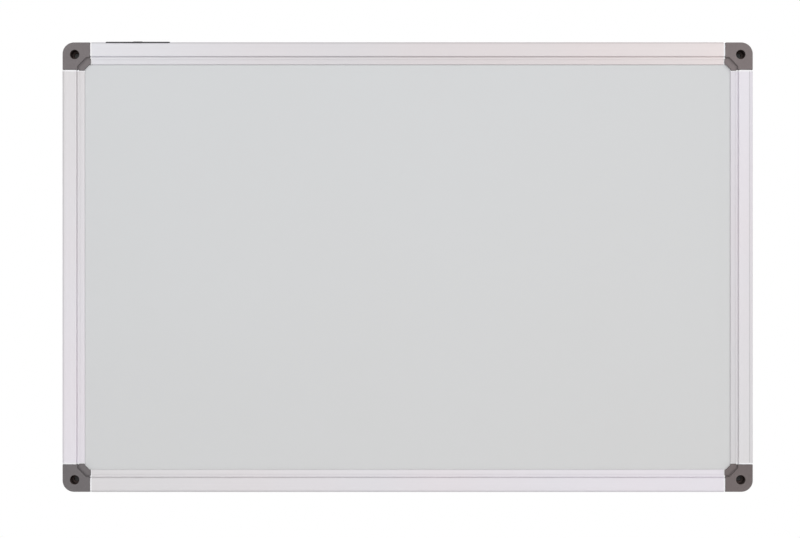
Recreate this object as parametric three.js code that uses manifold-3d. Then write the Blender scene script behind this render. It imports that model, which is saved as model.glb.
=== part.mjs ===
// A wall-hung magnetic dry-wipe board. A steel-faced panel sits in a frame of four hollow aluminium
// rails, and four moulded corner caps join the rails: each cap has two tongues that slide into the
// rails' chambers, and a screw from behind holds each tongue.
//
// Millimetres, +Z up. The origin is the middle of the wall plane behind the board, X runs along the
// board's width, and the writing face looks along -Y.
//
// Rails and caps are drawn once, in a frame of their own: x and y run inward from the board's outer
// edges, or x along the rail, and z runs forward from the wall. Nested groups turn them into place.

import * as THREE from 'three';
import { mergeVertices } from 'three/addons/utils/BufferGeometryUtils.js';
import Module from 'manifold-3d';

const wasm = await Module();
wasm.setup();

// Board, over the rails
const board_width = 600;
const board_height = 391;

// Panel: a lacquered steel sheet and a galvanised sheet, glued to a fibreboard core
const sheet_thickness = 0.4;
const core_thickness = 9;
const backing_thickness = 0.3;
const glue_line = 0.1;
const panel_corner_radius = 4;
const panel_side_fit = 0.3;
const panel_face_fit = 0.2;

// Corner screws: pan head, self tapping
const screw_diameter = 2.9;
const screw_length = 9.5;
const screw_point_length = 2.4;
const screw_head_diameter = 5.6;
const screw_head_height = 1.7;
const screw_head_edge = 0.5;
const screw_recess_span = 3.2;
const screw_recess_width = 0.8;
const screw_recess_depth = 1.1;
const screw_head_sink = 0.1;
const screw_seat_fit = 0.2;
const screw_side_fit = 0.3;

// Rail section
const rail_wall = 1.2;
const face_width = 12.3;
const groove_width = 1.2;
const groove_depth = 1.6;
const lip_width = 6.1;
const lip_thickness = 1.2;
const lip_step = 0.7;
const lip_fall = 0.6;
const die_line_inset = 1.9;
const die_line_width = 0.4;
const die_line_depth = 0.18;
const front_round = 2.5;
const rear_round = 0.8;
const rear_foot = 2;
const rear_lip_width = 5.1;
const rear_lip_thickness = 1.2;
const rear_lip_round = 0.4;
const chamber_round = 1;

// Corner cap, and its lip over the panel's corner
const cap_inset = 0.4;
const cap_proud = 0.5;
const cap_corner_radius = 10;
const cap_edge_round = 0.6;
const cap_wall = 2;
const cap_front_wall = 2.5;
const cap_rib_thickness = 1.4;
const cap_rib_setback = 1;
const cap_lip_step = 0.5;
const cap_lip_round = 0.25;
const cap_groove_depth = 1;
const step_inset = 13.3;
const step_chamfer = 7.7;
const step_gap = 1.3;
const lip_chamfer = 3.8;
const lip_land = 0.6;
const flap_length = 0.8;
const flap_fit = 0.2;
const rail_end_fit = 0.2;

// Wall screw hole through the cap
const wall_hole_inset = 10.9;
const wall_hole_diameter = 4.5;
const counterbore_diameter = 7.9;
const counterbore_floor = 3;
const counterbore_rim = 0.6;
const boss_wall = 2.2;

// Cap's tongue in a rail's chamber
const tongue_length = 25;
const tongue_fit = 0.4;
const tongue_wall = 1.6;
const tongue_front_wall = 1.8;
const tongue_lead_length = 2.5;
const tongue_lead_depth = 0.8;
const tongue_boss_diameter = 7;
const crush_rib_height = 0.2;
const crush_rib_width = 0.8;
const screw_reach = 12;
const screw_hole_skin = 0.5;

// Thin dark strip on the top rail's upper edge
const strip_start = 37.7;
const strip_length = 55.6;
const strip_thickness = 0.35;
const strip_setback = 3;
const strip_middle_length = 8;
const strip_middle_rise = 0.25;
const strip_wrap = THREE.MathUtils.degToRad(50);

// How far a cut runs past the face it cuts, and how far joined pieces run into each other
const overrun = 1;

// Steps in a quarter or half turn, sides of a round hole or post, and steps in a rounded edge
const arc_steps = 4;
const round_sides = 28;
const screw_sides = 16;
const edge_steps = 3;
const weld_distance = 1e-5;

// Levels forward from the wall
const panel_thickness = backing_thickness + glue_line + core_thickness + glue_line + sheet_thickness;
const lip_underside = rear_lip_thickness + panel_face_fit + panel_thickness + panel_face_fit;
const rail_depth = lip_underside + lip_thickness + lip_fall + lip_step;
const rear_recess = screw_head_sink + screw_head_height + screw_seat_fit;
const chamber_low = rear_recess + rail_wall;
const chamber_high = rail_depth - rail_wall;
const cap_front = rail_depth + cap_proud;
const cap_lip_front = cap_front - cap_lip_step;
const cap_groove_floor = cap_lip_front - cap_groove_depth;
const flap_underside = rail_depth - lip_step + flap_fit;

// Places inward from the board's outer edge
const groove_centre = face_width + groove_width / 2;
const groove_end = face_width + groove_width;
const rail_width = groove_end + lip_width;
const web_outer = groove_centre - rail_wall / 2;
const web_inner = groove_centre + rail_wall / 2;
const rear_lip_edge = web_inner + rear_lip_width;
const chamber_centre = (rail_wall + web_outer) / 2;
const cap_size = rail_width + lip_chamfer + lip_land;
const panel_edge = web_inner + panel_side_fit;

/** Closed solid of a three.js geometry. */
function solid(geometry) {
  const bare = geometry.clone();
  bare.deleteAttribute('normal');
  bare.deleteAttribute('uv');
  const welded = mergeVertices(bare, weld_distance);
  const vertProperties = new Float32Array(welded.attributes.position.array);
  const corners = [];
  for (let i = 0; i < welded.index.count; i += 3) {
    const [a, b, c] = welded.index.array.slice(i, i + 3);
    if (a !== b && b !== c && c !== a) corners.push(a, b, c);
  }
  const triVerts = new Uint32Array(corners);
  return new wasm.Manifold(new wasm.Mesh({ numProp: 3, vertProperties, triVerts }));
}

/** Three.js geometry of a solid. */
function geometry_of(body) {
  const { vertProperties, triVerts } = body.getMesh();
  const geometry = new THREE.BufferGeometry();
  geometry.setAttribute('position', new THREE.BufferAttribute(vertProperties, 3));
  geometry.setIndex(new THREE.BufferAttribute(triVerts, 1));
  geometry.computeVertexNormals();
  return geometry;
}

/** Shape through straight corners. */
function outline(corners) {
  return new THREE.Shape(corners.map(([x, y]) => new THREE.Vector2(x, y)));
}

/** Shape drawn in x and y, raised from one z to another, with rounded edges if asked. */
function raised(shape, low, high, edge_round = 0) {
  const geometry = new THREE.ExtrudeGeometry(shape, {
    depth: high - low - 2 * edge_round,
    curveSegments: arc_steps,
    bevelEnabled: edge_round > 0,
    bevelThickness: edge_round,
    bevelSize: edge_round,
    bevelOffset: -edge_round,
    bevelSegments: edge_steps,
  });
  geometry.translate(0, 0, low + edge_round);
  return geometry;
}

/** Shape drawn in x and z, carried along y from one place to another. */
function carried(shape, low, high) {
  const geometry = raised(shape, -high, -low);
  geometry.rotateX(Math.PI / 2);
  return geometry;
}

/** Box between two opposite corners. */
function block(low, high) {
  const size = high.map((value, axis) => value - low[axis]);
  const geometry = new THREE.BoxGeometry(...size);
  geometry.translate(...low.map((value, axis) => value + size[axis] / 2));
  return geometry;
}

/** Round post along z, or a cone where the two radii differ. */
function post(x, y, low, high, low_radius, high_radius = low_radius) {
  const geometry = new THREE.CylinderGeometry(high_radius, low_radius, high - low, round_sides);
  geometry.rotateX(Math.PI / 2);
  geometry.translate(x, y, (low + high) / 2);
  return geometry;
}

/** Rail's section: x inward from the outer edge, y forward from the wall. */
function rail_section() {
  const quarter = Math.PI / 2;
  const bead = lip_thickness / 2;
  const rear_nose = rear_lip_edge - rear_lip_round;
  const section = new THREE.Shape();
  section.moveTo(rear_round, 0);
  section.lineTo(rear_foot, 0);
  section.lineTo(rear_foot, rear_recess);
  section.lineTo(web_outer, rear_recess);
  section.lineTo(web_outer, 0);
  section.lineTo(rear_nose, 0);
  section.absarc(rear_nose, rear_lip_round, rear_lip_round, -quarter, 0);
  section.lineTo(rear_lip_edge, rear_lip_thickness - rear_lip_round);
  section.absarc(rear_nose, rear_lip_thickness - rear_lip_round, rear_lip_round, 0, quarter);
  section.lineTo(web_inner, rear_lip_thickness);
  section.lineTo(web_inner, lip_underside);
  section.lineTo(rail_width - bead, lip_underside);
  section.absarc(rail_width - bead, lip_underside + bead, bead, -quarter, quarter);
  for (const [place, depth] of die_line_points()) {
    section.lineTo(place, lip_level(place) - depth);
  }
  section.lineTo(groove_end, rail_depth - lip_step);
  section.lineTo(groove_centre, rail_depth - groove_depth);
  section.lineTo(face_width, rail_depth);
  section.lineTo(front_round, rail_depth);
  section.absarc(front_round, rail_depth - front_round, front_round, quarter, Math.PI);
  section.lineTo(0, rear_round);
  section.absarc(rear_round, rear_round, rear_round, Math.PI, Math.PI + quarter);
  section.holes.push(chamber_section());
  return section;
}

/** Level of a rail lip's sloping front face, at a place across it. */
function lip_level(place) {
  const slope = lip_fall / (lip_width - lip_thickness / 2);
  return rail_depth - lip_step - slope * (place - groove_end);
}

/** Fine line along a rail's lip, left by the die: places across the lip, and depths below its face. */
function die_line_points() {
  const middle = groove_end + die_line_inset;
  const half = die_line_width / 2;
  return [[middle + half, 0], [middle, die_line_depth], [middle - half, 0]];
}

/** Chamber inside a rail's section, with rounded corners. */
function chamber_section() {
  return rounded_rectangle(rail_wall, chamber_low, web_outer, chamber_high, chamber_round);
}

/** Rectangle with rounded corners, between two opposite corners. */
function rounded_rectangle(left, bottom, right, top, radius) {
  const quarter = Math.PI / 2;
  const shape = new THREE.Shape();
  shape.moveTo(left + radius, bottom);
  shape.lineTo(right - radius, bottom);
  shape.absarc(right - radius, bottom + radius, radius, -quarter, 0);
  shape.lineTo(right, top - radius);
  shape.absarc(right - radius, top - radius, radius, 0, quarter);
  shape.lineTo(left + radius, top);
  shape.absarc(left + radius, top - radius, radius, quarter, Math.PI);
  shape.lineTo(left, bottom + radius);
  shape.absarc(left + radius, bottom + radius, radius, Math.PI, Math.PI + quarter);
  return shape;
}

/** Section carried along x, from one place to the other: its x becomes y, and its y becomes z. */
function along_rail(section, low, high) {
  const geometry = raised(section, low, high);
  const turn = new THREE.Matrix4().makeBasis(
    new THREE.Vector3(0, 1, 0),
    new THREE.Vector3(0, 0, 1),
    new THREE.Vector3(1, 0, 0),
  );
  geometry.applyMatrix4(turn);
  return geometry;
}

/** Rail of one side of the board, centred on x, with its two screw holes in the back wall. */
function rail(side_length) {
  const half_length = side_length / 2 - cap_size - rail_end_fit;
  const screw_place = side_length / 2 - cap_size - screw_reach;
  const hole_radius = screw_diameter / 2 + screw_side_fit;
  let body = solid(along_rail(rail_section(), -half_length, half_length));
  for (const place of [-screw_place, screw_place]) {
    const hole = post(place, chamber_centre, rear_recess - overrun, chamber_low + overrun, hole_radius);
    body = body.subtract(solid(hole));
  }
  return geometry_of(body);
}

/** Cap's outline from the front: square, with a rounded outer corner and a chamfered inner step. */
function cap_outline() {
  const centre = cap_inset + cap_corner_radius;
  const shape = new THREE.Shape();
  shape.moveTo(cap_inset, centre);
  shape.absarc(centre, centre, cap_corner_radius, Math.PI, Math.PI * 1.5);
  shape.lineTo(cap_size, cap_inset);
  shape.lineTo(cap_size, step_inset);
  shape.lineTo(step_inset + step_chamfer, step_inset);
  shape.lineTo(step_inset, step_inset + step_chamfer);
  shape.lineTo(step_inset, cap_size);
  shape.lineTo(cap_inset, cap_size);
  return shape;
}

/** Part of an angle, from its two outer sides to a chamfered inner corner. */
function angle_outline(outer, inner, end) {
  return outline([
    [outer, outer],
    [end, outer],
    [end, inner],
    [inner + lip_chamfer, inner],
    [inner, inner + lip_chamfer],
    [inner, end],
    [outer, end],
  ]);
}

/** Cap's raised lip: beyond the groove, with the groove kept equally wide along its diagonal. */
function lip_outline() {
  const end = cap_size + flap_length;
  const start = step_inset + step_gap;
  const diagonal = step_chamfer - step_gap * (2 - Math.SQRT2);
  return outline([
    [start + diagonal, start],
    [end, start],
    [end, rail_width],
    [rail_width + lip_chamfer, rail_width],
    [rail_width, rail_width + lip_chamfer],
    [rail_width, end],
    [start, end],
    [start, start + diagonal],
  ]);
}

/** Hollow in the cap's back, between its skirt, its inner walls and its front wall. */
function cap_hollow() {
  const low = cap_inset + cap_wall;
  const radius = cap_corner_radius - cap_wall;
  const inner = web_inner - cap_wall;
  const end = cap_size - cap_wall;
  const top = cap_front - cap_front_wall;
  const shape = new THREE.Shape();
  shape.moveTo(low, low + radius);
  shape.absarc(low + radius, low + radius, radius, Math.PI, Math.PI * 1.5);
  shape.lineTo(end, low);
  shape.lineTo(end, inner);
  shape.lineTo(inner, inner);
  shape.lineTo(inner, end);
  shape.lineTo(low, end);
  const boss_radius = counterbore_diameter / 2 + boss_wall;
  const boss = post(wall_hole_inset, wall_hole_inset, -2 * overrun, top + overrun, boss_radius);
  let hollow = solid(raised(shape, -overrun, top)).subtract(solid(boss));
  for (const rib of cap_ribs(end + overrun, top + overrun)) {
    hollow = hollow.subtract(solid(rib));
  }
  return hollow;
}

/** Three ribs inside the cap: from the screw boss to both end walls and to the rounded corner. */
function cap_ribs(end, top) {
  const half = cap_rib_thickness / 2;
  const low = chamber_centre - half;
  const high = chamber_centre + half;
  const corner_rib = block([-wall_hole_inset, -half, cap_rib_setback], [0, half, top]);
  corner_rib.rotateZ(Math.PI / 4);
  corner_rib.translate(wall_hole_inset, wall_hole_inset, 0);
  return [
    block([wall_hole_inset, low, cap_rib_setback], [end, high, top]),
    block([low, wall_hole_inset, cap_rib_setback], [high, end, top]),
    corner_rib,
  ];
}

/** Pocket for the panel's rounded corner, open towards the middle of the board. */
function pocket_outline() {
  const radius = panel_corner_radius + panel_side_fit;
  const centre = web_inner + radius;
  const beyond = cap_size + overrun;
  const shape = new THREE.Shape();
  shape.moveTo(web_inner, centre);
  shape.absarc(centre, centre, radius, Math.PI, Math.PI * 1.5);
  shape.lineTo(beyond, web_inner);
  shape.lineTo(beyond, beyond);
  shape.lineTo(web_inner, beyond);
  return shape;
}

/** Cap's body: shell, ribs and boss, open behind, with a pocket for the panel's corner. */
function cap_body() {
  const pocket = raised(pocket_outline(), rear_lip_thickness, lip_underside);
  const rear_lip = raised(
    angle_outline(step_inset - overrun, rear_lip_edge, cap_size), 0, rear_lip_thickness,
  );
  const lip_base = raised(
    angle_outline(step_inset - overrun, rail_width, cap_size), lip_underside, cap_groove_floor,
  );
  return solid(raised(cap_outline(), 0, cap_front, cap_edge_round))
    .subtract(solid(pocket))
    .subtract(cap_hollow())
    .add(solid(rear_lip))
    .add(solid(lip_base));
}

/** Cap's raised lip, whose ends reach over the rails' lips. */
function cap_lip() {
  const beyond = cap_size + flap_length + overrun;
  const below = lip_underside - overrun;
  const over_x_rail = block([cap_size, 0, below], [beyond, beyond, flap_underside]);
  const over_y_rail = block([0, cap_size, below], [beyond, beyond, flap_underside]);
  return solid(raised(lip_outline(), lip_underside, cap_lip_front, cap_lip_round))
    .subtract(solid(over_x_rail))
    .subtract(solid(over_y_rail));
}

/** Cut for the wall screw: a clearance hole in the floor, a deep counterbore and a broken rim. */
function wall_screw_cut() {
  const place = wall_hole_inset;
  const radius = counterbore_diameter / 2;
  const rim_low = cap_front - counterbore_rim;
  const rim_high = cap_front + overrun;
  const rim_radius = radius + counterbore_rim + overrun;
  return solid(post(place, place, -overrun, counterbore_floor + overrun, wall_hole_diameter / 2))
    .add(solid(post(place, place, counterbore_floor, rim_high, radius)))
    .add(solid(post(place, place, rim_low, rim_high, radius, rim_radius)));
}

/** Outline of the tongue from one side, with a tapered tip. */
function tongue_outline(root, tip, low, high) {
  return outline([
    [root, low],
    [tip - tongue_lead_length, low],
    [tip, low + tongue_lead_depth],
    [tip, high - tongue_lead_depth],
    [tip - tongue_lead_length, high],
    [root, high],
  ]);
}

/** Low rib along x on a surface at one level: it rises outward and slopes down at its tip. */
function rib_outline(near, far, level, rise) {
  const inside = level - Math.sign(rise) * overrun;
  return outline([
    [near, inside],
    [far, inside],
    [far, level],
    [far - crush_rib_width, level + rise],
    [near, level + rise],
  ]);
}

/** Low crush ribs that centre the tongue in its chamber: two in front and one on each side. */
function crush_ribs(near, far, low, high, back, front) {
  const half = crush_rib_width / 2;
  const middle = (back + front) / 2;
  const inset = tongue_wall;
  const front_rib = rib_outline(near, far, front, crush_rib_height);
  return [
    carried(front_rib, low + inset - half, low + inset + half),
    carried(front_rib, high - inset - half, high - inset + half),
    raised(rib_outline(near, far, low, -crush_rib_height), middle - half, middle + half),
    raised(rib_outline(near, far, high, crush_rib_height), middle - half, middle + half),
  ];
}

/** Tongue along x: a tapered shell, open behind, with a boss and a cross rib at its screw. */
function tongue() {
  const root = cap_size - cap_wall;
  const tip = cap_size + tongue_length;
  const low = rail_wall + tongue_fit;
  const high = web_outer - tongue_fit;
  const back = chamber_low + tongue_fit;
  const front = chamber_high - tongue_fit;
  const screw_place = cap_size + screw_reach;
  const half_rib = cap_rib_thickness / 2;
  const hollow_front = front - tongue_front_wall;
  const cross_rib = block(
    [screw_place - half_rib, low, back - overrun],
    [screw_place + half_rib, high, hollow_front + overrun],
  );
  const boss = post(screw_place, chamber_centre, back - overrun, front, tongue_boss_diameter / 2);
  const hollow = solid(block(
    [cap_size, low + tongue_wall, back - overrun],
    [tip - tongue_wall, high - tongue_wall, hollow_front],
  )).subtract(solid(boss)).subtract(solid(cross_rib));
  const screw_hole = post(
    screw_place, chamber_centre, back - overrun, front - screw_hole_skin,
    screw_diameter / 2 + screw_side_fit,
  );
  const plan = raised(tongue_outline(root, tip, low, high), back, front);
  const side = carried(tongue_outline(root, tip, back, front), low, high);
  let body = solid(plan).intersect(solid(side)).subtract(hollow);
  for (const rib of crush_ribs(root, tip - tongue_lead_length, low, high, back, front)) {
    body = body.add(solid(rib));
  }
  return body.subtract(solid(screw_hole));
}

/** The same tongue along y, because a tongue is symmetric about the chamber's middle. */
function turned_tongue(body) {
  const geometry = geometry_of(body);
  geometry.rotateZ(Math.PI / 2);
  geometry.translate(2 * chamber_centre, 0, 0);
  return solid(geometry);
}

/** Corner cap with its corner at the origin: body, lip and two tongues in one moulding. */
function corner_cap() {
  const along_x = tongue();
  const body = cap_body()
    .add(cap_lip())
    .add(along_x)
    .add(turned_tongue(along_x))
    .subtract(wall_screw_cut());
  return geometry_of(body);
}

/** Self-tapping screw along z, with the underside of its head at the origin. */
function corner_screw() {
  const head_radius = screw_head_diameter / 2;
  const dome = screw_head_height - screw_head_edge;
  const profile = new THREE.Path();
  profile.moveTo(0, -screw_head_height);
  profile.absellipse(0, -screw_head_edge, head_radius, dome, -Math.PI / 2, 0);
  profile.lineTo(head_radius, 0);
  profile.lineTo(screw_diameter / 2, 0);
  profile.lineTo(screw_diameter / 2, screw_length - screw_point_length);
  profile.lineTo(0, screw_length);
  const geometry = new THREE.LatheGeometry(profile.getPoints(edge_steps), screw_sides);
  geometry.rotateX(Math.PI / 2);
  const half_span = screw_recess_span / 2;
  const half_width = screw_recess_width / 2;
  const low = -screw_head_height - overrun;
  const high = -screw_head_height + screw_recess_depth;
  const body = solid(geometry)
    .subtract(solid(block([-half_span, -half_width, low], [half_span, half_width, high])))
    .subtract(solid(block([-half_width, -half_span, low], [half_width, half_span, high])));
  return geometry_of(body);
}

/** One layer of the panel, lying in x and y, as thick as asked. */
function panel_layer(thickness) {
  const half_width = board_width / 2 - panel_edge;
  const half_height = board_height / 2 - panel_edge;
  const shape = rounded_rectangle(
    -half_width, -half_height, half_width, half_height, panel_corner_radius,
  );
  return raised(shape, 0, thickness);
}

/** Section of the dark strip, which lies on a rail's outer face and wraps onto its front edge. */
function strip_section(rise) {
  const inner_radius = front_round + glue_line;
  const outer_radius = inner_radius + strip_thickness + rise;
  const level = rail_depth - front_round;
  const end = Math.PI - strip_wrap;
  const section = new THREE.Shape();
  section.moveTo(front_round - inner_radius, strip_setback);
  section.lineTo(front_round - inner_radius, level);
  section.absarc(front_round, level, inner_radius, Math.PI, end, true);
  section.absarc(front_round, level, outer_radius, end, Math.PI, false);
  section.lineTo(front_round - outer_radius, strip_setback);
  return section;
}

/** Dark strip along a rail, with a slightly thicker middle. */
function edge_strip() {
  const half_length = strip_length / 2;
  const half_middle = strip_middle_length / 2;
  const thin = along_rail(strip_section(0), -half_length, half_length);
  const thick = along_rail(strip_section(strip_middle_rise), -half_middle, half_middle);
  return geometry_of(solid(thin).add(solid(thick)));
}

const finishes = {
  lacquered_steel: { color: 0xd4d6d7, roughness: 0.22, metalness: 0 },
  galvanised_steel: { color: 0xb4b8bb, roughness: 0.42, metalness: 0.9 },
  fibreboard: { color: 0x8a6c4a, roughness: 0.9, metalness: 0 },
  satin_aluminium: { color: 0xe1dde1, roughness: 0.38, metalness: 0.85 },
  moulded_plastic: { color: 0x787172, roughness: 0.6, metalness: 0 },
  zinc_plate: { color: 0xc3c6c9, roughness: 0.3, metalness: 1 },
  dark_film: { color: 0x3c3b3e, roughness: 0.7, metalness: 0 },
};

/** Named piece with a finish of its own. */
function piece(name, geometry, finish, x = 0, y = 0, z = 0) {
  const mesh = new THREE.Mesh(geometry, new THREE.MeshStandardMaterial(finishes[finish]));
  mesh.name = name;
  mesh.position.set(x, y, z);
  return mesh;
}

/** Panel's three layers, from the back to the front. */
function panel() {
  const backing_level = rear_lip_thickness + panel_face_fit;
  const core_level = backing_level + backing_thickness + glue_line;
  const sheet_level = core_level + core_thickness + glue_line;
  const group = new THREE.Group();
  group.rotation.x = Math.PI / 2;
  group.add(
    piece('backing_sheet', panel_layer(backing_thickness), 'galvanised_steel', 0, 0, backing_level),
    piece('core_board', panel_layer(core_thickness), 'fibreboard', 0, 0, core_level),
    piece('writing_sheet', panel_layer(sheet_thickness), 'lacquered_steel', 0, 0, sheet_level),
  );
  return group;
}

// Sides in the order of quarter turns about Y, each with the corner at its left end seen from outside
const sides = [
  { rail_name: 'bottom_rail', corner: 'bottom_left', length: board_width, offset: board_height / 2 },
  { rail_name: 'left_rail', corner: 'top_left', length: board_height, offset: board_width / 2 },
  { rail_name: 'top_rail', corner: 'top_right', length: board_width, offset: board_height / 2 },
  { rail_name: 'right_rail', corner: 'bottom_right', length: board_height, offset: board_width / 2 },
];

const board = new THREE.Group();
board.add(panel());

const cap_geometry = corner_cap();
const screw_geometry = corner_screw();

sides.forEach(({ rail_name, corner, length, offset }, turn) => {
  const corner_place = -length / 2;
  const screw_far = cap_size + screw_reach;
  const screw_level = rear_recess - screw_seat_fit;
  const frame = new THREE.Group();
  frame.position.z = -offset;
  frame.rotation.x = Math.PI / 2;
  frame.add(
    piece(rail_name, rail(length), 'satin_aluminium'),
    piece(`corner_cap_${corner}`, cap_geometry, 'moulded_plastic', corner_place),
    piece(
      `corner_screw_${corner}_a`, screw_geometry, 'zinc_plate',
      corner_place + screw_far, chamber_centre, screw_level,
    ),
    piece(
      `corner_screw_${corner}_b`, screw_geometry, 'zinc_plate',
      corner_place + chamber_centre, screw_far, screw_level,
    ),
  );
  if (rail_name === 'top_rail') {
    const strip_place = length / 2 - strip_start - strip_length / 2;
    frame.add(piece('top_edge_strip', edge_strip(), 'dark_film', strip_place));
  }
  const side = new THREE.Group();
  side.rotation.y = turn * Math.PI / 2;
  side.add(frame);
  board.add(side);
});

export default board;
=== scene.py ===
"""Visual model of a wall-hung magnetic dry-wipe board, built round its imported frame.

Metres, +Z up, in the frame's own axes: X runs along the board's width, the writing face looks along
-Y, and the wall is the plane Y = 0. Rails, corner caps and screws are drawn in an edge frame: x runs
along the rail, y inward from the board's outer edge and z forward from the wall. Each side of the
board turns that frame into place.
"""

from __future__ import annotations

import logging
import math
from collections.abc import Callable, Iterable, Sequence
from dataclasses import dataclass, replace
from enum import Enum

import bmesh
import bpy
from mathutils import Color, Matrix, Vector, noise


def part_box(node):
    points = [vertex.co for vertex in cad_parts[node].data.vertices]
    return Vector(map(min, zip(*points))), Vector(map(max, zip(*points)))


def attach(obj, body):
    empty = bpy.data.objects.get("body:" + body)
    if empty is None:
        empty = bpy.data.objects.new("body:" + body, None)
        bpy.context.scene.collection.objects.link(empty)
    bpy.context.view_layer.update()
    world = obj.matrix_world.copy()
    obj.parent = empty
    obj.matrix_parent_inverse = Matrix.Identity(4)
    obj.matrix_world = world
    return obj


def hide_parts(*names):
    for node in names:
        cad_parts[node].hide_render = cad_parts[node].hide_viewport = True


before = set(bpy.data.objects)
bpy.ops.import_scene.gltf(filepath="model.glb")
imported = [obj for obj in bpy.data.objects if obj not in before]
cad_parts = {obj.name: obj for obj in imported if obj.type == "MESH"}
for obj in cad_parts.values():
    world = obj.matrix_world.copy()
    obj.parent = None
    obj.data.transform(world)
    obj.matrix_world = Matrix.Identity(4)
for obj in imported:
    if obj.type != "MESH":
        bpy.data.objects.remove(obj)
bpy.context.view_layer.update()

MM = 0.001
QUARTER = math.pi / 2
BODY = "root"

# Steps of a rounded corner in plan, of a rounded edge, and of a full turn
ARC_STEPS = 8
CORNER_STEPS = 20
EDGE_STEPS = 5
TURN_STEPS = 64
SMOOTH_ANGLE = math.radians(26)
WELD = 1e-7
OVERRUN = 1 * MM

# Each part of a unit vector at 45 degrees, and the highest value of t (1 - t) from 0 to 1
SLANT = math.sqrt(0.5)
PARABOLA_PEAK = 0.25

# Widths of a rail's flat face and of its groove, which its finish follows
FACE_WIDTH = 12.3 * MM
GROOVE_WIDTH = 1.2 * MM

# The caps' step, which the painted shade in their finish follows: its inset from both outer edges, and
# its chamfer
STEP_INSET = 13.3 * MM
STEP_CHAMFER = 7.7 * MM

LOG = logging.getLogger("magnetic_board")

# A corner is its x, its y and the radius of its rounding; a ring is a closed loop of points
Corner = tuple[float, float, float]
Ring = list[Vector]


class Side(Enum):
    """The board's four sides, in the order of quarter turns about Y."""

    BOTTOM = 0
    LEFT = 1
    TOP = 2
    RIGHT = 3

    @property
    def rail_name(self) -> str:
        """Name of the side's rail."""
        return f"{self.name.lower()}_rail"

    @property
    def corner_name(self) -> str:
        """Name of the corner where the side starts.

        Returns:
            The name, as in the frame's nodes.
        """
        starts = {
            Side.BOTTOM: "bottom_left",
            Side.LEFT: "top_left",
            Side.TOP: "top_right",
            Side.RIGHT: "bottom_right",
        }
        return starts[self]

    @property
    def is_long(self) -> bool:
        """Whether the side runs along the board's width."""
        return self in (Side.BOTTOM, Side.TOP)


class Operation(Enum):
    """How one solid acts on another."""

    CUT = "DIFFERENCE"
    JOIN = "UNION"


# Outlines and meshes


def filleted(corners: Sequence[Corner], steps: int = ARC_STEPS) -> list[Vector]:
    """Points of a closed outline whose corners are rounded.

    Args:
        corners: x, y and radius of each corner, in order.
        steps: straight steps in each rounded corner.

    Returns:
        The outline's points, without doubled ones.
    """
    places = [Vector((x, y)) for x, y, _ in corners]
    points: list[Vector] = []
    for index, (x, y, radius) in enumerate(corners):
        place = places[index]
        to_before = (places[index - 1] - place).normalized()
        to_after = (places[(index + 1) % len(places)] - place).normalized()
        if radius <= 0:
            points.append(place)
            continue
        half_angle = to_before.angle(to_after) / 2
        centre = place + (to_before + to_after).normalized() * (radius / math.sin(half_angle))
        start = place + to_before * (radius / math.tan(half_angle)) - centre
        end = place + to_after * (radius / math.tan(half_angle)) - centre
        sweep = math.atan2(start.x * end.y - start.y * end.x, start.dot(end))
        for step in range(steps + 1):
            points.append(centre + Matrix.Rotation(sweep * step / steps, 2) @ start)
    return [p for i, p in enumerate(points) if (p - points[i - 1]).length > WELD]


def inset(points: Sequence[Vector], distance: float) -> list[Vector]:
    """Moves a closed anticlockwise outline inward, with mitred corners.

    Args:
        points: the outline's points.
        distance: how far each side moves inward; below zero it moves outward.

    Returns:
        As many points as were given.
    """
    shifted = []
    for index, point in enumerate(points):
        before = (point - points[index - 1]).normalized()
        after = (points[(index + 1) % len(points)] - point).normalized()
        normal_before = Vector((-before.y, before.x))
        normal_after = Vector((-after.y, after.x))
        mitre = (normal_before + normal_after) / (1 + normal_before.dot(normal_after))
        shifted.append(point + mitre * distance)
    return shifted


def circle(radius: float, height: float, x: float = 0, y: float = 0, steps: int = TURN_STEPS) -> Ring:
    """Ring of points round an axis that is parallel to z."""
    turns = (2 * math.pi * step / steps for step in range(steps))
    return [Vector((x + radius * math.cos(a), y + radius * math.sin(a), height)) for a in turns]


def at_height(points: Iterable[Vector], height: float) -> Ring:
    """Flat points lifted to one height."""
    return [Vector((p.x, p.y, height)) for p in points]


def along_rail(points: Iterable[Vector], place: float) -> Ring:
    """Points of a section, set across the rail at one place along it."""
    return [Vector((place, p.x, p.y)) for p in points]


def skin(bm: bmesh.types.BMesh, rings: Sequence[Ring]) -> list[list[bmesh.types.BMVert]]:
    """Adds a skin of quads over rings that hold the same number of points.

    Args:
        bm: the mesh to add to.
        rings: the rings, in order.

    Returns:
        The vertices of each ring.
    """
    rows = [[bm.verts.new(point) for point in ring] for ring in rings]
    for low, high in zip(rows, rows[1:]):
        for index in range(len(low)):
            after = (index + 1) % len(low)
            bm.faces.new((low[index], low[after], high[after], high[index]))
    return rows


def finished(bm: bmesh.types.BMesh, name: str) -> bpy.types.Mesh:
    """Mesh made from a closed bmesh, with its faces pointing out.

    Args:
        bm: the bmesh, which is used up.
        name: the mesh's name.

    Returns:
        The mesh.
    """
    bmesh.ops.recalc_face_normals(bm, faces=bm.faces)
    mesh = bpy.data.meshes.new(name)
    bm.to_mesh(mesh)
    bm.free()
    return mesh


def lofted(rings: Sequence[Ring], name: str = "loft") -> bpy.types.Mesh:
    """Closed solid over rings, with a flat face on the first and the last.

    Args:
        rings: rings that hold the same number of points, in order.
        name: the mesh's name.

    Returns:
        The mesh.
    """
    bm = bmesh.new()
    rows = skin(bm, rings)
    bm.faces.new(rows[0][::-1])
    bm.faces.new(rows[-1])
    return finished(bm, name)


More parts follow.
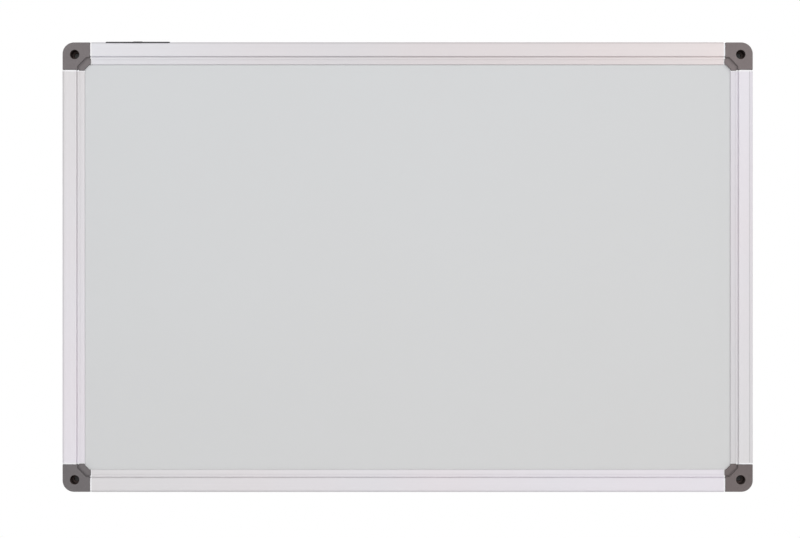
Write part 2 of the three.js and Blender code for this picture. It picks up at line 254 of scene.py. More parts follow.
def rounded_edge(radius: float) -> list[tuple[float, float]]:
    """Steps of a rounded edge between a flat face and a side.

    Args:
        radius: radius of the edge; 0 leaves it sharp.

    Returns:
        How far in from the side and how far from the face each step lies, from the face on.
    """
    if not radius:
        return [(0, 0)]
    angles = [QUARTER * step / EDGE_STEPS for step in range(EDGE_STEPS + 1)]
    return [(radius * (1 - math.sin(a)), radius * (1 - math.cos(a))) for a in angles]


def prism(
    points: Sequence[Vector], low: float, high: float, low_round: float = 0, high_round: float = 0,
) -> bpy.types.Mesh:
    """Outline raised along z, with its lower and upper edges rounded.

    Args:
        points: anticlockwise outline.
        low: height of the lower face.
        high: height of the upper face.
        low_round: radius of the lower edge.
        high_round: radius of the upper edge.

    Returns:
        A closed mesh.
    """
    steps = [(inward, low + rise) for inward, rise in rounded_edge(low_round)]
    steps += [(inward, high - fall) for inward, fall in reversed(rounded_edge(high_round))]
    return lofted([at_height(inset(points, inward), height) for inward, height in steps])


def block(low: Sequence[float], high: Sequence[float]) -> bpy.types.Mesh:
    """Box between two opposite corners, used as a cutter or a rib.

    Args:
        low: its corner with the smallest x, y and z.
        high: its corner with the largest.

    Returns:
        A closed mesh.
    """
    corners = ((low[0], low[1]), (high[0], low[1]), (high[0], high[1]), (low[0], high[1]))
    points = [Vector(corner) for corner in corners]
    return lofted([at_height(points, low[2]), at_height(points, high[2])])


def post(x: float, y: float, low: float, high: float, radius: float) -> bpy.types.Mesh:
    """Round post that is parallel to z."""
    return lofted([circle(radius, low, x, y), circle(radius, high, x, y)])


def combined(
    base: bpy.types.Mesh, operation: Operation, *tools: bpy.types.Mesh,
) -> bpy.types.Mesh:
    """Cuts others out of a solid or joins them to it, one after the other.

    Args:
        base: the solid to start from.
        operation: what each tool does to it.
        tools: the other solids.

    Returns:
        The new solid. The meshes given are used up.
    """
    collection = bpy.context.scene.collection
    for tool_mesh in tools:
        body = bpy.data.objects.new("work_body", base)
        tool = bpy.data.objects.new("work_tool", tool_mesh)
        collection.objects.link(body)
        collection.objects.link(tool)
        change = body.modifiers.new("change", "BOOLEAN")
        change.operation = operation.value
        change.solver = "EXACT"
        change.object = tool
        depsgraph = bpy.context.evaluated_depsgraph_get()
        changed = bpy.data.meshes.new_from_object(body.evaluated_get(depsgraph))
        for used in (body, tool):
            bpy.data.objects.remove(used)
        for used_mesh in (base, tool_mesh):
            bpy.data.meshes.remove(used_mesh)
        base = changed
    return base


def shaded(mesh: bpy.types.Mesh) -> bpy.types.Mesh:
    """Shades a mesh's gentle edges smooth and leaves its corners crisp.

    Args:
        mesh: the mesh, which is changed.

    Returns:
        The same mesh.
    """
    mesh.shade_smooth()
    mesh.set_sharp_from_angle(angle=SMOOTH_ANGLE)
    return mesh


# Finishes


class Shader:
    """Node tree of one material, built round its principled shader."""

    def __init__(self, name: str) -> None:
        """Starts a material with a plain principled shader.

        Args:
            name: the material's name.
        """
        self.material = bpy.data.materials.new(name)
        self.material.use_nodes = True
        self.tree = self.material.node_tree
        self.surface = self.tree.nodes["Principled BSDF"]
        self.output = self.tree.nodes["Material Output"]

    def set(self, **values: float | tuple[float, ...]) -> None:
        """Sets sockets of the principled shader, named with underscores for spaces."""
        for name, value in values.items():
            self.surface.inputs[name.replace("_", " ")].default_value = value

    def node(self, kind: str, **settings: object) -> bpy.types.Node:
        """Adds a node and sets its properties.

        Args:
            kind: Blender's name for the node.
            settings: its properties by name.

        Returns:
            The node.
        """
        made = self.tree.nodes.new(kind)
        for name, value in settings.items():
            setattr(made, name, value)
        return made

    def join(self, source: bpy.types.NodeSocket, target: bpy.types.NodeSocket) -> None:
        """Links one socket to another."""
        self.tree.links.new(source, target)

    def place(self, stretch: Sequence[float] = (1, 1, 1)) -> bpy.types.NodeSocket:
        """Place on the piece in its own axes, scaled along each one.

        Args:
            stretch: the scale along x, y and z.

        Returns:
            The socket with the place.
        """
        coordinates = self.node("ShaderNodeTexCoord")
        scaled = self.node("ShaderNodeVectorMath", operation="MULTIPLY")
        scaled.inputs[1].default_value = stretch
        self.join(coordinates.outputs["Object"], scaled.inputs[0])
        return scaled.outputs["Vector"]

    def noise(
        self, place: bpy.types.NodeSocket, size: float, detail: float = 3, roughness: float = 0.5,
    ) -> bpy.types.NodeSocket:
        """Noise around 0.5 whose blobs are about as wide as size.

        Args:
            place: the coordinates that it is read at.
            size: width of a blob, in metres of those coordinates.
            detail: octaves of finer noise on top.
            roughness: how strong the finer octaves are.

        Returns:
            The socket with its value.
        """
        texture = self.node("ShaderNodeTexNoise", noise_dimensions="4D")
        texture.inputs["Scale"].default_value = 1 / size
        texture.inputs["Detail"].default_value = detail
        texture.inputs["Roughness"].default_value = roughness
        info = self.node("ShaderNodeObjectInfo")
        self.join(place, texture.inputs["Vector"])
        self.join(info.outputs["Object Index"], texture.inputs["W"])
        return texture.outputs["Fac"]

    def ranged(
        self, value: bpy.types.NodeSocket, low: float, high: float, spread: float = 0.25,
    ) -> bpy.types.NodeSocket:
        """Noise value spread out to a range.

        Args:
            value: a value around 0.5.
            low: result where the value is a spread below 0.5.
            high: result where it is a spread above.
            spread: how far from 0.5 the value usually gets.

        Returns:
            The socket with the result.
        """
        return self.faded(value, 0.5 - spread, 0.5 + spread, low, high)

    def faded(
        self, value: bpy.types.NodeSocket, start: float, end: float, low: float, high: float,
    ) -> bpy.types.NodeSocket:
        """Value that goes evenly from one level to another, and is held before and after.

        Args:
            value: the value that it follows.
            start: where it leaves the first level.
            end: where it reaches the second one.
            low: the first level.
            high: the second level.

        Returns:
            The socket with the result.
        """
        mapped = self.node("ShaderNodeMapRange")
        mapped.inputs["From Min"].default_value = start
        mapped.inputs["From Max"].default_value = end
        mapped.inputs["To Min"].default_value = low
        mapped.inputs["To Max"].default_value = high
        self.join(value, mapped.inputs["Value"])
        return mapped.outputs["Result"]

    def along(self) -> bpy.types.NodeSocket:
        """Place along the piece's x axis, from 0 at its first end to 1 at its last.

        Returns:
            The socket with the place.
        """
        coordinates = self.node("ShaderNodeTexCoord")
        parts = self.node("ShaderNodeSeparateXYZ")
        self.join(coordinates.outputs["Generated"], parts.inputs["Vector"])
        return parts.outputs["X"]

    def beyond(self, direction: Sequence[float], start: float) -> bpy.types.NodeSocket:
        """How far a place on the piece lies beyond a plane.

        Args:
            direction: the plane's normal, in the piece's own axes.
            start: the plane's distance from the origin.

        Returns:
            The socket with the distance, below 0 on the near side.
        """
        reach = self.node("ShaderNodeVectorMath", operation="DOT_PRODUCT")
        reach.inputs[1].default_value = direction
        self.join(self.place(), reach.inputs[0])
        left = self.node("ShaderNodeMath", operation="SUBTRACT")
        left.inputs[1].default_value = start
        self.join(reach.outputs["Value"], left.inputs[0])
        return left.outputs["Value"]

    def paired(
        self, operation: str, first: bpy.types.NodeSocket, second: bpy.types.NodeSocket,
    ) -> bpy.types.NodeSocket:
        """One value made from two.

        Args:
            operation: Blender's name for what is done with them.
            first: the first value.
            second: the second value.

        Returns:
            The socket with the result.
        """
        made = self.node("ShaderNodeMath", operation=operation)
        self.join(first, made.inputs[0])
        self.join(second, made.inputs[1])
        return made.outputs["Value"]

    def blended(
        self, share: bpy.types.NodeSocket, first: Sequence[float], second: Sequence[float],
    ) -> bpy.types.NodeSocket:
        """Colour that goes from one to another as the share goes from 0 to 1.

        Args:
            share: the share of the second colour.
            first: the colour at share 0.
            second: the colour at share 1.

        Returns:
            The socket with the colour.
        """
        mixed = self.node("ShaderNodeMix", data_type="RGBA")
        mixed.inputs["A"].default_value = (*first, 1)
        mixed.inputs["B"].default_value = (*second, 1)
        self.join(share, mixed.inputs["Factor"])
        return mixed.outputs["Result"]

    def darkened(
        self, colour: bpy.types.NodeSocket, value: bpy.types.NodeSocket, at_low: float, at_high: float,
    ) -> bpy.types.NodeSocket:
        """Linked colour, darkened by a noise value.

        Args:
            colour: the colour.
            value: a value around 0.5.
            at_low: share of the light that is lost where the value is low.
            at_high: share that is lost where it is high.

        Returns:
            The socket with the darker colour.
        """
        return self.dimmed(colour, self.ranged(value, at_low, at_high))

    def multiplied(
        self, first: bpy.types.NodeSocket, second: bpy.types.NodeSocket,
    ) -> bpy.types.NodeSocket:
        """Product of two linked colours.

        Args:
            first: the first colour.
            second: the second colour.

        Returns:
            The socket with the product.
        """
        mixed = self.node("ShaderNodeMix", data_type="RGBA", blend_type="MULTIPLY")
        mixed.inputs["Factor"].default_value = 1
        self.join(first, mixed.inputs["A"])
        self.join(second, mixed.inputs["B"])
        return mixed.outputs["Result"]

    def dimmed(
        self, colour: bpy.types.NodeSocket, share: bpy.types.NodeSocket,
    ) -> bpy.types.NodeSocket:
        """Linked colour that loses a linked share of its light.

        Args:
            colour: the colour.
            share: the share that is lost.

        Returns:
            The socket with the darker colour.
        """
        mixed = self.node("ShaderNodeMix", data_type="RGBA", blend_type="MULTIPLY")
        mixed.inputs["B"].default_value = (0, 0, 0, 1)
        self.join(share, mixed.inputs["Factor"])
        self.join(colour, mixed.inputs["A"])
        return mixed.outputs["Result"]

    def bump(
        self, height: bpy.types.NodeSocket, depth: float, below: bpy.types.Node | None = None,
    ) -> bpy.types.Node:
        """Adds a relief to the surface.

        Args:
            height: relief from 0 to 1.
            depth: height of the relief, in metres.
            below: an earlier relief that this one lies on.

        Returns:
            The bump node, which is linked to the shader.
        """
        relief = self.node("ShaderNodeBump")
        relief.inputs["Strength"].default_value = 1
        relief.inputs["Distance"].default_value = depth
        self.join(height, relief.inputs["Height"])
        if below is not None:
            self.join(below.outputs["Normal"], relief.inputs["Normal"])
        self.join(relief.outputs["Normal"], self.surface.inputs["Normal"])
        return relief


def linear(red: float, green: float, blue: float) -> tuple[float, float, float]:
    """Linear colour of a screen colour that is given from 0 to 255."""
    return tuple(Color((red / 255, green / 255, blue / 255)).from_srgb_to_scene_linear())


@dataclass(frozen=True)
class Finish:
    """A surface finish, with its slot in the record and the plain values of its shader."""

    name: str
    slot: str
    colour: tuple[float, float, float]
    roughness: float
    metallic: float = 0
    specular: float = 0.5
    smoother: float = 0.08
    rougher: float = 0.12

    def material(self) -> bpy.types.Material:
        """The finish's material, which is made once.

        Returns:
            The material.
        """
        made = bpy.data.materials.get(self.name)
        if made is not None:
            return made
        shader = Shader(self.name)
        shader.set(
            Base_Color=(*self.colour, 1),
            Roughness=self.roughness,
            Metallic=self.metallic,
            Specular_IOR_Level=self.specular,
        )
        self.detail(shader)
        shader.material.diffuse_color = (*self.colour, 1)
        return shader.material

    def detail(self, shader: Shader) -> None:
        """Adds the finish's own grain, tint and relief to its shader."""
        raise NotImplementedError

    def toned(self, tone: Sequence[float]) -> tuple[float, ...]:
        """The finish's colour, with each channel changed by its own factor."""
        return tuple(channel * factor for channel, factor in zip(self.colour, tone))

    def shade(self, level: float) -> tuple[float, ...]:
        """The finish's colour, lighter or darker by one factor."""
        return self.toned((level,) * 3)

    def paint(self, shader: Shader, colour: bpy.types.NodeSocket) -> None:
        """Links a colour to the shader."""
        shader.join(colour, shader.surface.inputs["Base Color"])

    def roughen(self, shader: Shader, value: bpy.types.NodeSocket) -> None:
        """Makes the surface smoother where a noise value is low and rougher where it is high.

        Args:
            shader: the finish's shader.
            value: a value from 0 to 1, around 0.5.
        """
        low, high = self.roughness - self.smoother, self.roughness + self.rougher
        rough = shader.ranged(value, low, high, spread=0.5)
        shader.join(rough, shader.surface.inputs["Roughness"])


@dataclass(frozen=True)
class ExtrudedAluminium(Finish):
    """Satin anodised extrusion, with faint die lines, an etched grain, a tone that drifts and painted
    shade along its outer edge.
    """

    line_width: float = 0.35 * MM
    line_length: float = 400 * MM
    line_depth: float = 0.004 * MM
    line_shade: float = 0.035
    grain: float = 0.12 * MM
    grain_depth: float = 0.003 * MM
    tint_length: float = 90 * MM
    tint_width: float = 360 * MM
    warm: tuple[float, float, float] = (1.012, 0.99, 0.992)
    cool: tuple[float, float, float] = (0.992, 1.002, 1.01)
    start_tone: tuple[float, float, float] = (0.955, 0.964, 0.94)
    end_tone: tuple[float, float, float] = (1.047, 1.037, 1.062)
    middle_shade: float = 0
    lip_shade: float = 0.04
    lip_edge: float = 0.05 * MM
    # Painted shade in a fine line along the rounded outer edge, standing in for the darker
    # surroundings it reflects
    edge_shade: float = 0.17
    edge_start: float = 0
    edge_middle: float = 0.5 * MM
    edge_end: float = 1.6 * MM

    def edge_share(self, shader: Shader) -> bpy.types.NodeSocket:
        """Share of the light that the painted shade in a fine line along the outer edge takes.

        Args:
            shader: the finish's shader.

        Returns:
            The socket with the share.
        """
        inward = shader.beyond((0, 1, 0), 0)
        rise = shader.faded(inward, self.edge_start, self.edge_middle, 0, self.edge_shade)
        fall = shader.faded(inward, self.edge_middle, self.edge_end, self.edge_shade, 0)
        return shader.paired("MINIMUM", rise, fall)

    def drifted(self, shader: Shader, colour: bpy.types.NodeSocket) -> bpy.types.NodeSocket:
        """Colour that drifts along the rail, darker on the lip, and with painted shade in the outer
        line.

        Args:
            shader: the finish's shader.
            colour: the colour without that change.

        Returns:
            The socket with the changed colour.
        """
        along = shader.along()
        toned = shader.multiplied(colour, shader.blended(along, self.start_tone, self.end_tone))
        rest = shader.faded(along, 0, 1, self.middle_shade / PARABOLA_PEAK, 0)
        sagged = shader.dimmed(toned, shader.paired("MULTIPLY", along, rest))
        edged = shader.dimmed(sagged, self.edge_share(shader))
        past_groove = shader.beyond((0, 1, 0), FACE_WIDTH + GROOVE_WIDTH)
        return shader.dimmed(edged, shader.faded(past_groove, 0, self.lip_edge, 0, self.lip_shade))

    def detail(self, shader: Shader) -> None:
        """Adds die lines, grain, the slow changes of tint and the drift along the rail.

        Args:
            shader: the finish's shader.
        """
        along = self.line_width / self.line_length
        across = self.tint_length / self.tint_width
        lines = shader.noise(shader.place((along, 1, 1)), self.line_width, detail=2)
        grain = shader.noise(shader.place(), self.grain, detail=2)
        drift = shader.noise(shader.place((1, across, across)), self.tint_length, detail=1)
        tinted = shader.blended(
            shader.ranged(drift, 0, 1), self.toned(self.cool), self.toned(self.warm),
        )
        lined = shader.darkened(tinted, lines, 0, self.line_shade)
        self.paint(shader, self.drifted(shader, lined))
        self.roughen(shader, lines)
        relief = shader.bump(lines, self.line_depth)
        shader.bump(grain, self.grain_depth, below=relief)


@dataclass(frozen=True)
class CutAluminium(Finish):
    """Bare end of a rail, with the fine marks of the saw across it, also used as a painted highlight
    beside the end.
    """

    mark: float = 0.18 * MM
    mark_length: float = 6 * MM
    mark_depth: float = 0.008 * MM
    dark: float = 0.95
    light: float = 1.02

    def detail(self, shader: Shader) -> None:
        """Adds the saw marks, which run forward from the wall.

        Args:
            shader: the finish's shader.
        """
        forward = self.mark / self.mark_length
        marks = shader.noise(shader.place((1, 1, forward)), self.mark, detail=2)
        worn = shader.blended(
            shader.ranged(marks, 0, 1), self.shade(self.dark), self.shade(self.light),
        )
        self.paint(shader, worn)
        self.roughen(shader, marks)
        shader.bump(marks, self.mark_depth)


@dataclass(frozen=True)
class MouldedPlastic(Finish):
    """Grey moulded plastic with a spark-eroded grain, faint flow marks and painted shade in its step.
    """

    grain: float = 0.28 * MM
    grain_depth: float = 0.03 * MM
    grain_shade: float = 0.1
    pore: float = 0.09 * MM
    pore_depth: float = 0.004 * MM
    mottle: float = 1.6 * MM
    mottle_shade: float = 0.12
    flow: float = 9 * MM
    flow_length: float = 15 * MM
    dark: float = 1.0
    light: float = 1.1
    # Painted shade on the lip next to the step, standing in for the shade of the step's wall
    grime_shade: float = 0.3
    grime_reach: float = 3.3 * MM
    grime_edge: float = 0.1 * MM
    grime_level: float = 12 * MM

    def grime_share(self, shader: Shader) -> bpy.types.NodeSocket:
        """Share of the light that the painted shade inward of a cap's step takes, on the front only.

        Args:
            shader: the finish's shader.

        Returns:
            The socket with the share.
        """
        past_x = shader.beyond((1, 0, 0), STEP_INSET)
        past_y = shader.beyond((0, 1, 0), STEP_INSET)
        past_chamfer = shader.beyond((SLANT, SLANT, 0), (2 * STEP_INSET + STEP_CHAMFER) * SLANT)
        inward = shader.paired("MINIMUM", shader.paired("MINIMUM", past_x, past_y), past_chamfer)
        in_front = shader.beyond((0, 0, 1), self.grime_level)
        on_step = shader.paired("MINIMUM", inward, in_front)
        past_step = shader.faded(on_step, 0, self.grime_edge, 0, 1)
        thinning = shader.faded(inward, 0, self.grime_reach, self.grime_shade, 0)
        return shader.paired("MULTIPLY", past_step, thinning)

    def detail(self, shader: Shader) -> None:
        """Adds the grain, the finer pores, the mottling, the flow marks and the painted shade in the
        step.

        Args:
            shader: the finish's shader.
        """
        along = self.flow / self.flow_length
        grain = shader.noise(shader.place(), self.grain, detail=4, roughness=0.6)
        pores = shader.noise(shader.place(), self.pore, detail=2)
        mottle = shader.noise(shader.place(), self.mottle, detail=3)
        flow = shader.noise(shader.place((1, along, 1)), self.flow, detail=3)
        streaked = shader.blended(
            shader.ranged(flow, 0, 1), self.shade(self.dark), self.shade(self.light),
        )
        mottled = shader.darkened(streaked, mottle, self.mottle_shade, 0)
        grained = shader.darkened(mottled, grain, self.grain_shade, 0)
        self.paint(shader, shader.dimmed(grained, self.grime_share(shader)))
        self.roughen(shader, pores)
        relief = shader.bump(grain, self.grain_depth)
        shader.bump(pores, self.pore_depth, below=relief)


@dataclass(frozen=True)
class DryWipeLacquer(Finish):
    """Pale grey baked lacquer, slightly glossy, with a faint orange peel and a cloudy haze.

    Its tint goes from a cooler, lighter upper left to a plain grey lower right: painted light from the
    upper left.
    """

    peel: float = 2.2 * MM
    peel_depth: float = 0.003 * MM
    cloud: float = 120 * MM
    cloud_share: float = 0.08
    wipe: float = 60 * MM
    wipe_length: float = 170 * MM
    # Lighter, cooler tint towards the upper left and plain grey towards the lower right: painted light
    cool: tuple[float, float, float] = (0.997, 1.017, 1.036)
    plain: tuple[float, float, float] = (0.976, 0.976, 0.976)
    cool_towards: tuple[float, float, float] = (-0.35, 0, 0.94)
    drift_length: float = 580 * MM

    def detail(self, shader: Shader) -> None:
        """Adds the clouded tint with its painted light from the upper left, the haze of wiping and the
        orange peel.

        Args:
            shader: the finish's shader.
        """
        along = self.wipe / self.wipe_length
        cloud = shader.noise(shader.place(), self.cloud, detail=2)
        haze = shader.noise(shader.place((along, 1, 1)), self.wipe, detail=5, roughness=0.6)
        peel = shader.noise(shader.place(), self.peel, detail=1)
        drift = shader.node("ShaderNodeVectorMath", operation="DOT_PRODUCT")
        drift.inputs[1].default_value = [axis / self.drift_length for axis in self.cool_towards]
        shader.join(shader.place(), drift.inputs[0])
        cloudy = shader.ranged(cloud, 0.5 - self.cloud_share, 0.5 + self.cloud_share)
        share = shader.node("ShaderNodeMath", operation="ADD", use_clamp=True)
        shader.join(drift.outputs["Value"], share.inputs[0])
        shader.join(cloudy, share.inputs[1])
        clouded = shader.blended(
            share.outputs["Value"], self.toned(self.plain), self.toned(self.cool),
        )
        self.paint(shader, clouded)
        self.roughen(shader, haze)
        shader.bump(peel, self.peel_depth)


@dataclass(frozen=True)
class GalvanisedSteel(Finish):
    """Hot-dip galvanised sheet, with its frosted spangle."""

    spangle: float = 6 * MM
    frost: float = 0.5 * MM
    frost_depth: float = 0.003 * MM
    frost_shade: float = 0.12
    dark: float = 0.93
    light: float = 1.04

    def detail(self, shader: Shader) -> None:
        """Adds the spangle's crystals and the frost on them.

        Args:
            shader: the finish's shader.
        """
        place = shader.place()
        warp = shader.node("ShaderNodeTexNoise")
        warp.inputs["Scale"].default_value = 1 / self.spangle
        warped = shader.node("ShaderNodeVectorMath", operation="MULTIPLY_ADD")
        warped.inputs[1].default_value = (self.spangle / 2,) * 3
        crystals = shader.node("ShaderNodeTexVoronoi", feature="F1")
        crystals.inputs["Scale"].default_value = 1 / self.spangle
        facet = shader.node("ShaderNodeSeparateColor")
        shader.join(place, warp.inputs["Vector"])
        shader.join(warp.outputs["Color"], warped.inputs[0])
        shader.join(place, warped.inputs[2])
        shader.join(warped.outputs["Vector"], crystals.inputs["Vector"])
        shader.join(crystals.outputs["Color"], facet.inputs["Color"])
        spangled = shader.blended(
            shader.ranged(facet.outputs["Red"], 0, 1, spread=0.5),
            self.shade(self.dark), self.shade(self.light),
        )
        frost = shader.noise(place, self.frost, detail=3)
        self.paint(shader, shader.darkened(spangled, frost, 0, self.frost_shade))
        self.roughen(shader, facet.outputs["Green"])
        shader.bump(frost, self.frost_depth)


@dataclass(frozen=True)
class Fibreboard(Finish):
    """Pressed wood fibre, brown and matt, with short flecks."""

    fibre: float = 0.5 * MM
    fibre_length: float = 4 * MM
    relief: float = 0.05 * MM
    dark: float = 0.7
    light: float = 1.2

    def detail(self, shader: Shader) -> None:
        """Adds the flecks and the fuzzy relief of the fibres.

        Args:
            shader: the finish's shader.
        """
        along = self.fibre / self.fibre_length
        flecks = shader.noise(shader.place((along, 1, 1)), self.fibre, detail=4, roughness=0.65)
        flecked = shader.blended(
            shader.ranged(flecks, 0, 1), self.shade(self.dark), self.shade(self.light),
        )
        self.paint(shader, flecked)
        shader.bump(flecks, self.relief)


@dataclass(frozen=True)
class ZincPlate(Finish):
    """Bright zinc plating with a faint passivated tint."""

    blush: float = 1.5 * MM
    yellow: tuple[float, float, float] = (1.03, 1.0, 0.9)
    blue: tuple[float, float, float] = (0.95, 1.0, 1.05)
    scuff: float = 0.1 * MM
    scuff_depth: float = 0.004 * MM

    def detail(self, shader: Shader) -> None:
        """Adds the tint and the scuffs of handling.

        Args:
            shader: the finish's shader.
        """
        blush = shader.noise(shader.place(), self.blush, detail=2)
        scuffs = shader.noise(shader.place(), self.scuff, detail=3)
        tinted = shader.blended(
            shader.ranged(blush, 0, 1), self.toned(self.blue), self.toned(self.yellow),
        )
        self.paint(shader, tinted)
        self.roughen(shader, scuffs)
        shader.bump(scuffs, self.scuff_depth)


@dataclass(frozen=True)
class DarkFilm(Finish):
    """Dark plastic film with a matt surface and worn, paler spots."""

    grain: float = 0.2 * MM
    grain_depth: float = 0.006 * MM
    wear: float = 3 * MM
    dark: float = 0.8
    light: float = 1.35

    def detail(self, shader: Shader) -> None:
        """Adds the matt grain and the worn spots.

        Args:
            shader: the finish's shader.
        """
        grain = shader.noise(shader.place(), self.grain, detail=3)
        wear = shader.noise(shader.place(), self.wear, detail=4)
        worn = shader.blended(
            shader.ranged(wear, 0, 1), self.shade(self.dark), self.shade(self.light),
        )
        self.paint(shader, worn)
        self.roughen(shader, wear)
        shader.bump(grain, self.grain_depth)


def cap_plastic(name: str, red: float, green: float, blue: float) -> MouldedPlastic:
    """The caps' plastic in one tint, at a level of painted light.

    Args:
        name: the shade's name.
        red: its screen colour, from 0 to 255.
        green: the same.
        blue: the same.

    Returns:
        The finish.
    """
    return MouldedPlastic(name, "moulded_plastic", linear(red, green, blue), 0.55, specular=0.35)


RAIL_FINISH = ExtrudedAluminium(
    "satin_anodised_extrusion", "satin_aluminium", linear(221.5, 218.5, 222), 0.34, metallic=0.4,
    smoother=0.05, rougher=0.1,
)
# The right rail's painted outer-edge shade lies further in and is stronger, and its lip is darker
RIGHT_RAIL_FINISH = replace(
    RAIL_FINISH, name="cool_anodised_extrusion", lip_shade=0.09,
    edge_shade=0.34, edge_start=2.4 * MM, edge_middle=3 * MM, edge_end=3.7 * MM,
)
TOP_RAIL_FINISH = ExtrudedAluminium(
    "warm_anodised_extrusion", "satin_aluminium", linear(224, 219.5, 221), 0.34, metallic=0.4,
    smoother=0.05, rougher=0.1, start_tone=(1.03, 0.98, 0.955), end_tone=(0.97, 1.02, 1.047),
    middle_shade=0.095, lip_shade=0,
)
RAIL_FINISHES = {Side.TOP: TOP_RAIL_FINISH, Side.RIGHT: RIGHT_RAIL_FINISH}
# Bright bare metal on the cut ends, and a painted highlight on the faces beside them
CUT_FINISH = CutAluminium(
    "bright_saw_cut", "satin_aluminium", linear(241, 240, 242), 0.35, metallic=0.4,
    smoother=0.06,
)
# Upper caps lighter and lower caps darker: painted light from above; warm and cool are the plastic's
# own tints
CAP_FINISHES = {
    Side.BOTTOM: cap_plastic("cool_mid_grey_moulding", 111.5, 107, 108),
    Side.LEFT: cap_plastic("cool_light_grey_moulding", 120.5, 114.5, 115.5),
    Side.TOP: cap_plastic("warm_light_grey_moulding", 124.5, 115.5, 115.5),
    Side.RIGHT: cap_plastic("warm_mid_grey_moulding", 111, 102, 101.5),
}
# Darker grey on the walls and floor of the wall screw hole: painted shade of the deep bore
BORE_PAINTED_SHADE = MouldedPlastic(
    "shaded_grey_bore", "moulded_plastic", linear(79, 68, 66), 0.75, specular=0.1,
)
SHEET_FINISH = DryWipeLacquer(
    "pale_grey_lacquer", "lacquered_steel", linear(206, 206, 206), 0.22, rougher=0.04,
)
BACKING_FINISH = GalvanisedSteel(
    "galvanised_spangle", "galvanised_steel", linear(186, 190, 193), 0.42, metallic=0.85,
    smoother=0.1, rougher=0.12,
)
CORE_FINISH = Fibreboard("pressed_fibre", "fibreboard", linear(138, 108, 74), 0.9)
SCREW_FINISH = ZincPlate(
    "bright_zinc", "zinc_plate", linear(205, 208, 210), 0.34, metallic=1,
    smoother=0.05, rougher=0.2,
)
STRIP_FINISH = DarkFilm("dark_matt_film", "dark_film", linear(38, 37, 39), 0.6)


def add_piece(
    name: str, mesh: bpy.types.Mesh, finishes: Sequence[Finish], node: str,
    placement: Matrix | None = None, variant: int = 0,
) -> bpy.types.Object:
    """Adds a dressed piece in place of a node of the frame.

    Args:
        name: the piece's name.
        mesh: its mesh, in its own axes.
        finishes: its finishes, the main one first.
        node: the node that it stands for.
        placement: turns its own axes into the frame.
        variant: number that sets its grain apart from that of its like.

    Returns:
        The new object.
    """
    mesh.name = name
    mesh.materials.clear()
    for finish in finishes:
        mesh.materials.append(finish.material())
    piece = bpy.data.objects.new(name, shaded(mesh))
    piece.pass_index = variant
    bpy.context.scene.collection.objects.link(piece)
    piece.matrix_world = placement or Matrix.Identity(4)
    even = piece.modifiers.new("even_shading", "WEIGHTED_NORMAL")
    even.keep_sharp = True
    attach(piece, BODY)
    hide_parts(node)
    LOG.info("%s: %d faces, in place of %s", name, len(mesh.polygons), node)
    return piece


# Board


@dataclass(frozen=True)
class Board:
    """Outer size of the board, as the frame gives it."""

    width: float
    height: float
    depth: float

    @classmethod
    def from_frame(cls) -> Board:
        """Board as wide, high and deep as the four rails of the frame.

        Returns:
            The board.
        """
        left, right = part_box(Side.LEFT.rail_name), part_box(Side.RIGHT.rail_name)
        bottom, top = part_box(Side.BOTTOM.rail_name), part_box(Side.TOP.rail_name)
        return cls(right[1].x - left[0].x, top[1].z - bottom[0].z, -top[0].y)

    def length(self, side: Side) -> float:
        """Length of the board along a side."""
        return self.width if side.is_long else self.height

    def placement(self, side: Side, along: float = 0, inward: float = 0) -> Matrix:
        """Turns the edge frame of a side into the board's frame.

        Args:
            side: the side of the board.
            along: where the edge frame's origin lies along the side, from its middle.
            inward: how far inward from the board's outer edge it lies.

        Returns:
            The matrix that places a mesh.
        """
        offset = (self.height if side.is_long else self.width) / 2
        turn = Matrix.Rotation(side.value * QUARTER, 4, "Y")
        lowered = Matrix.Translation((0, 0, -offset))
        upright = Matrix.Rotation(QUARTER, 4, "X")
        return turn @ lowered @ upright @ Matrix.Translation((along, inward, 0))


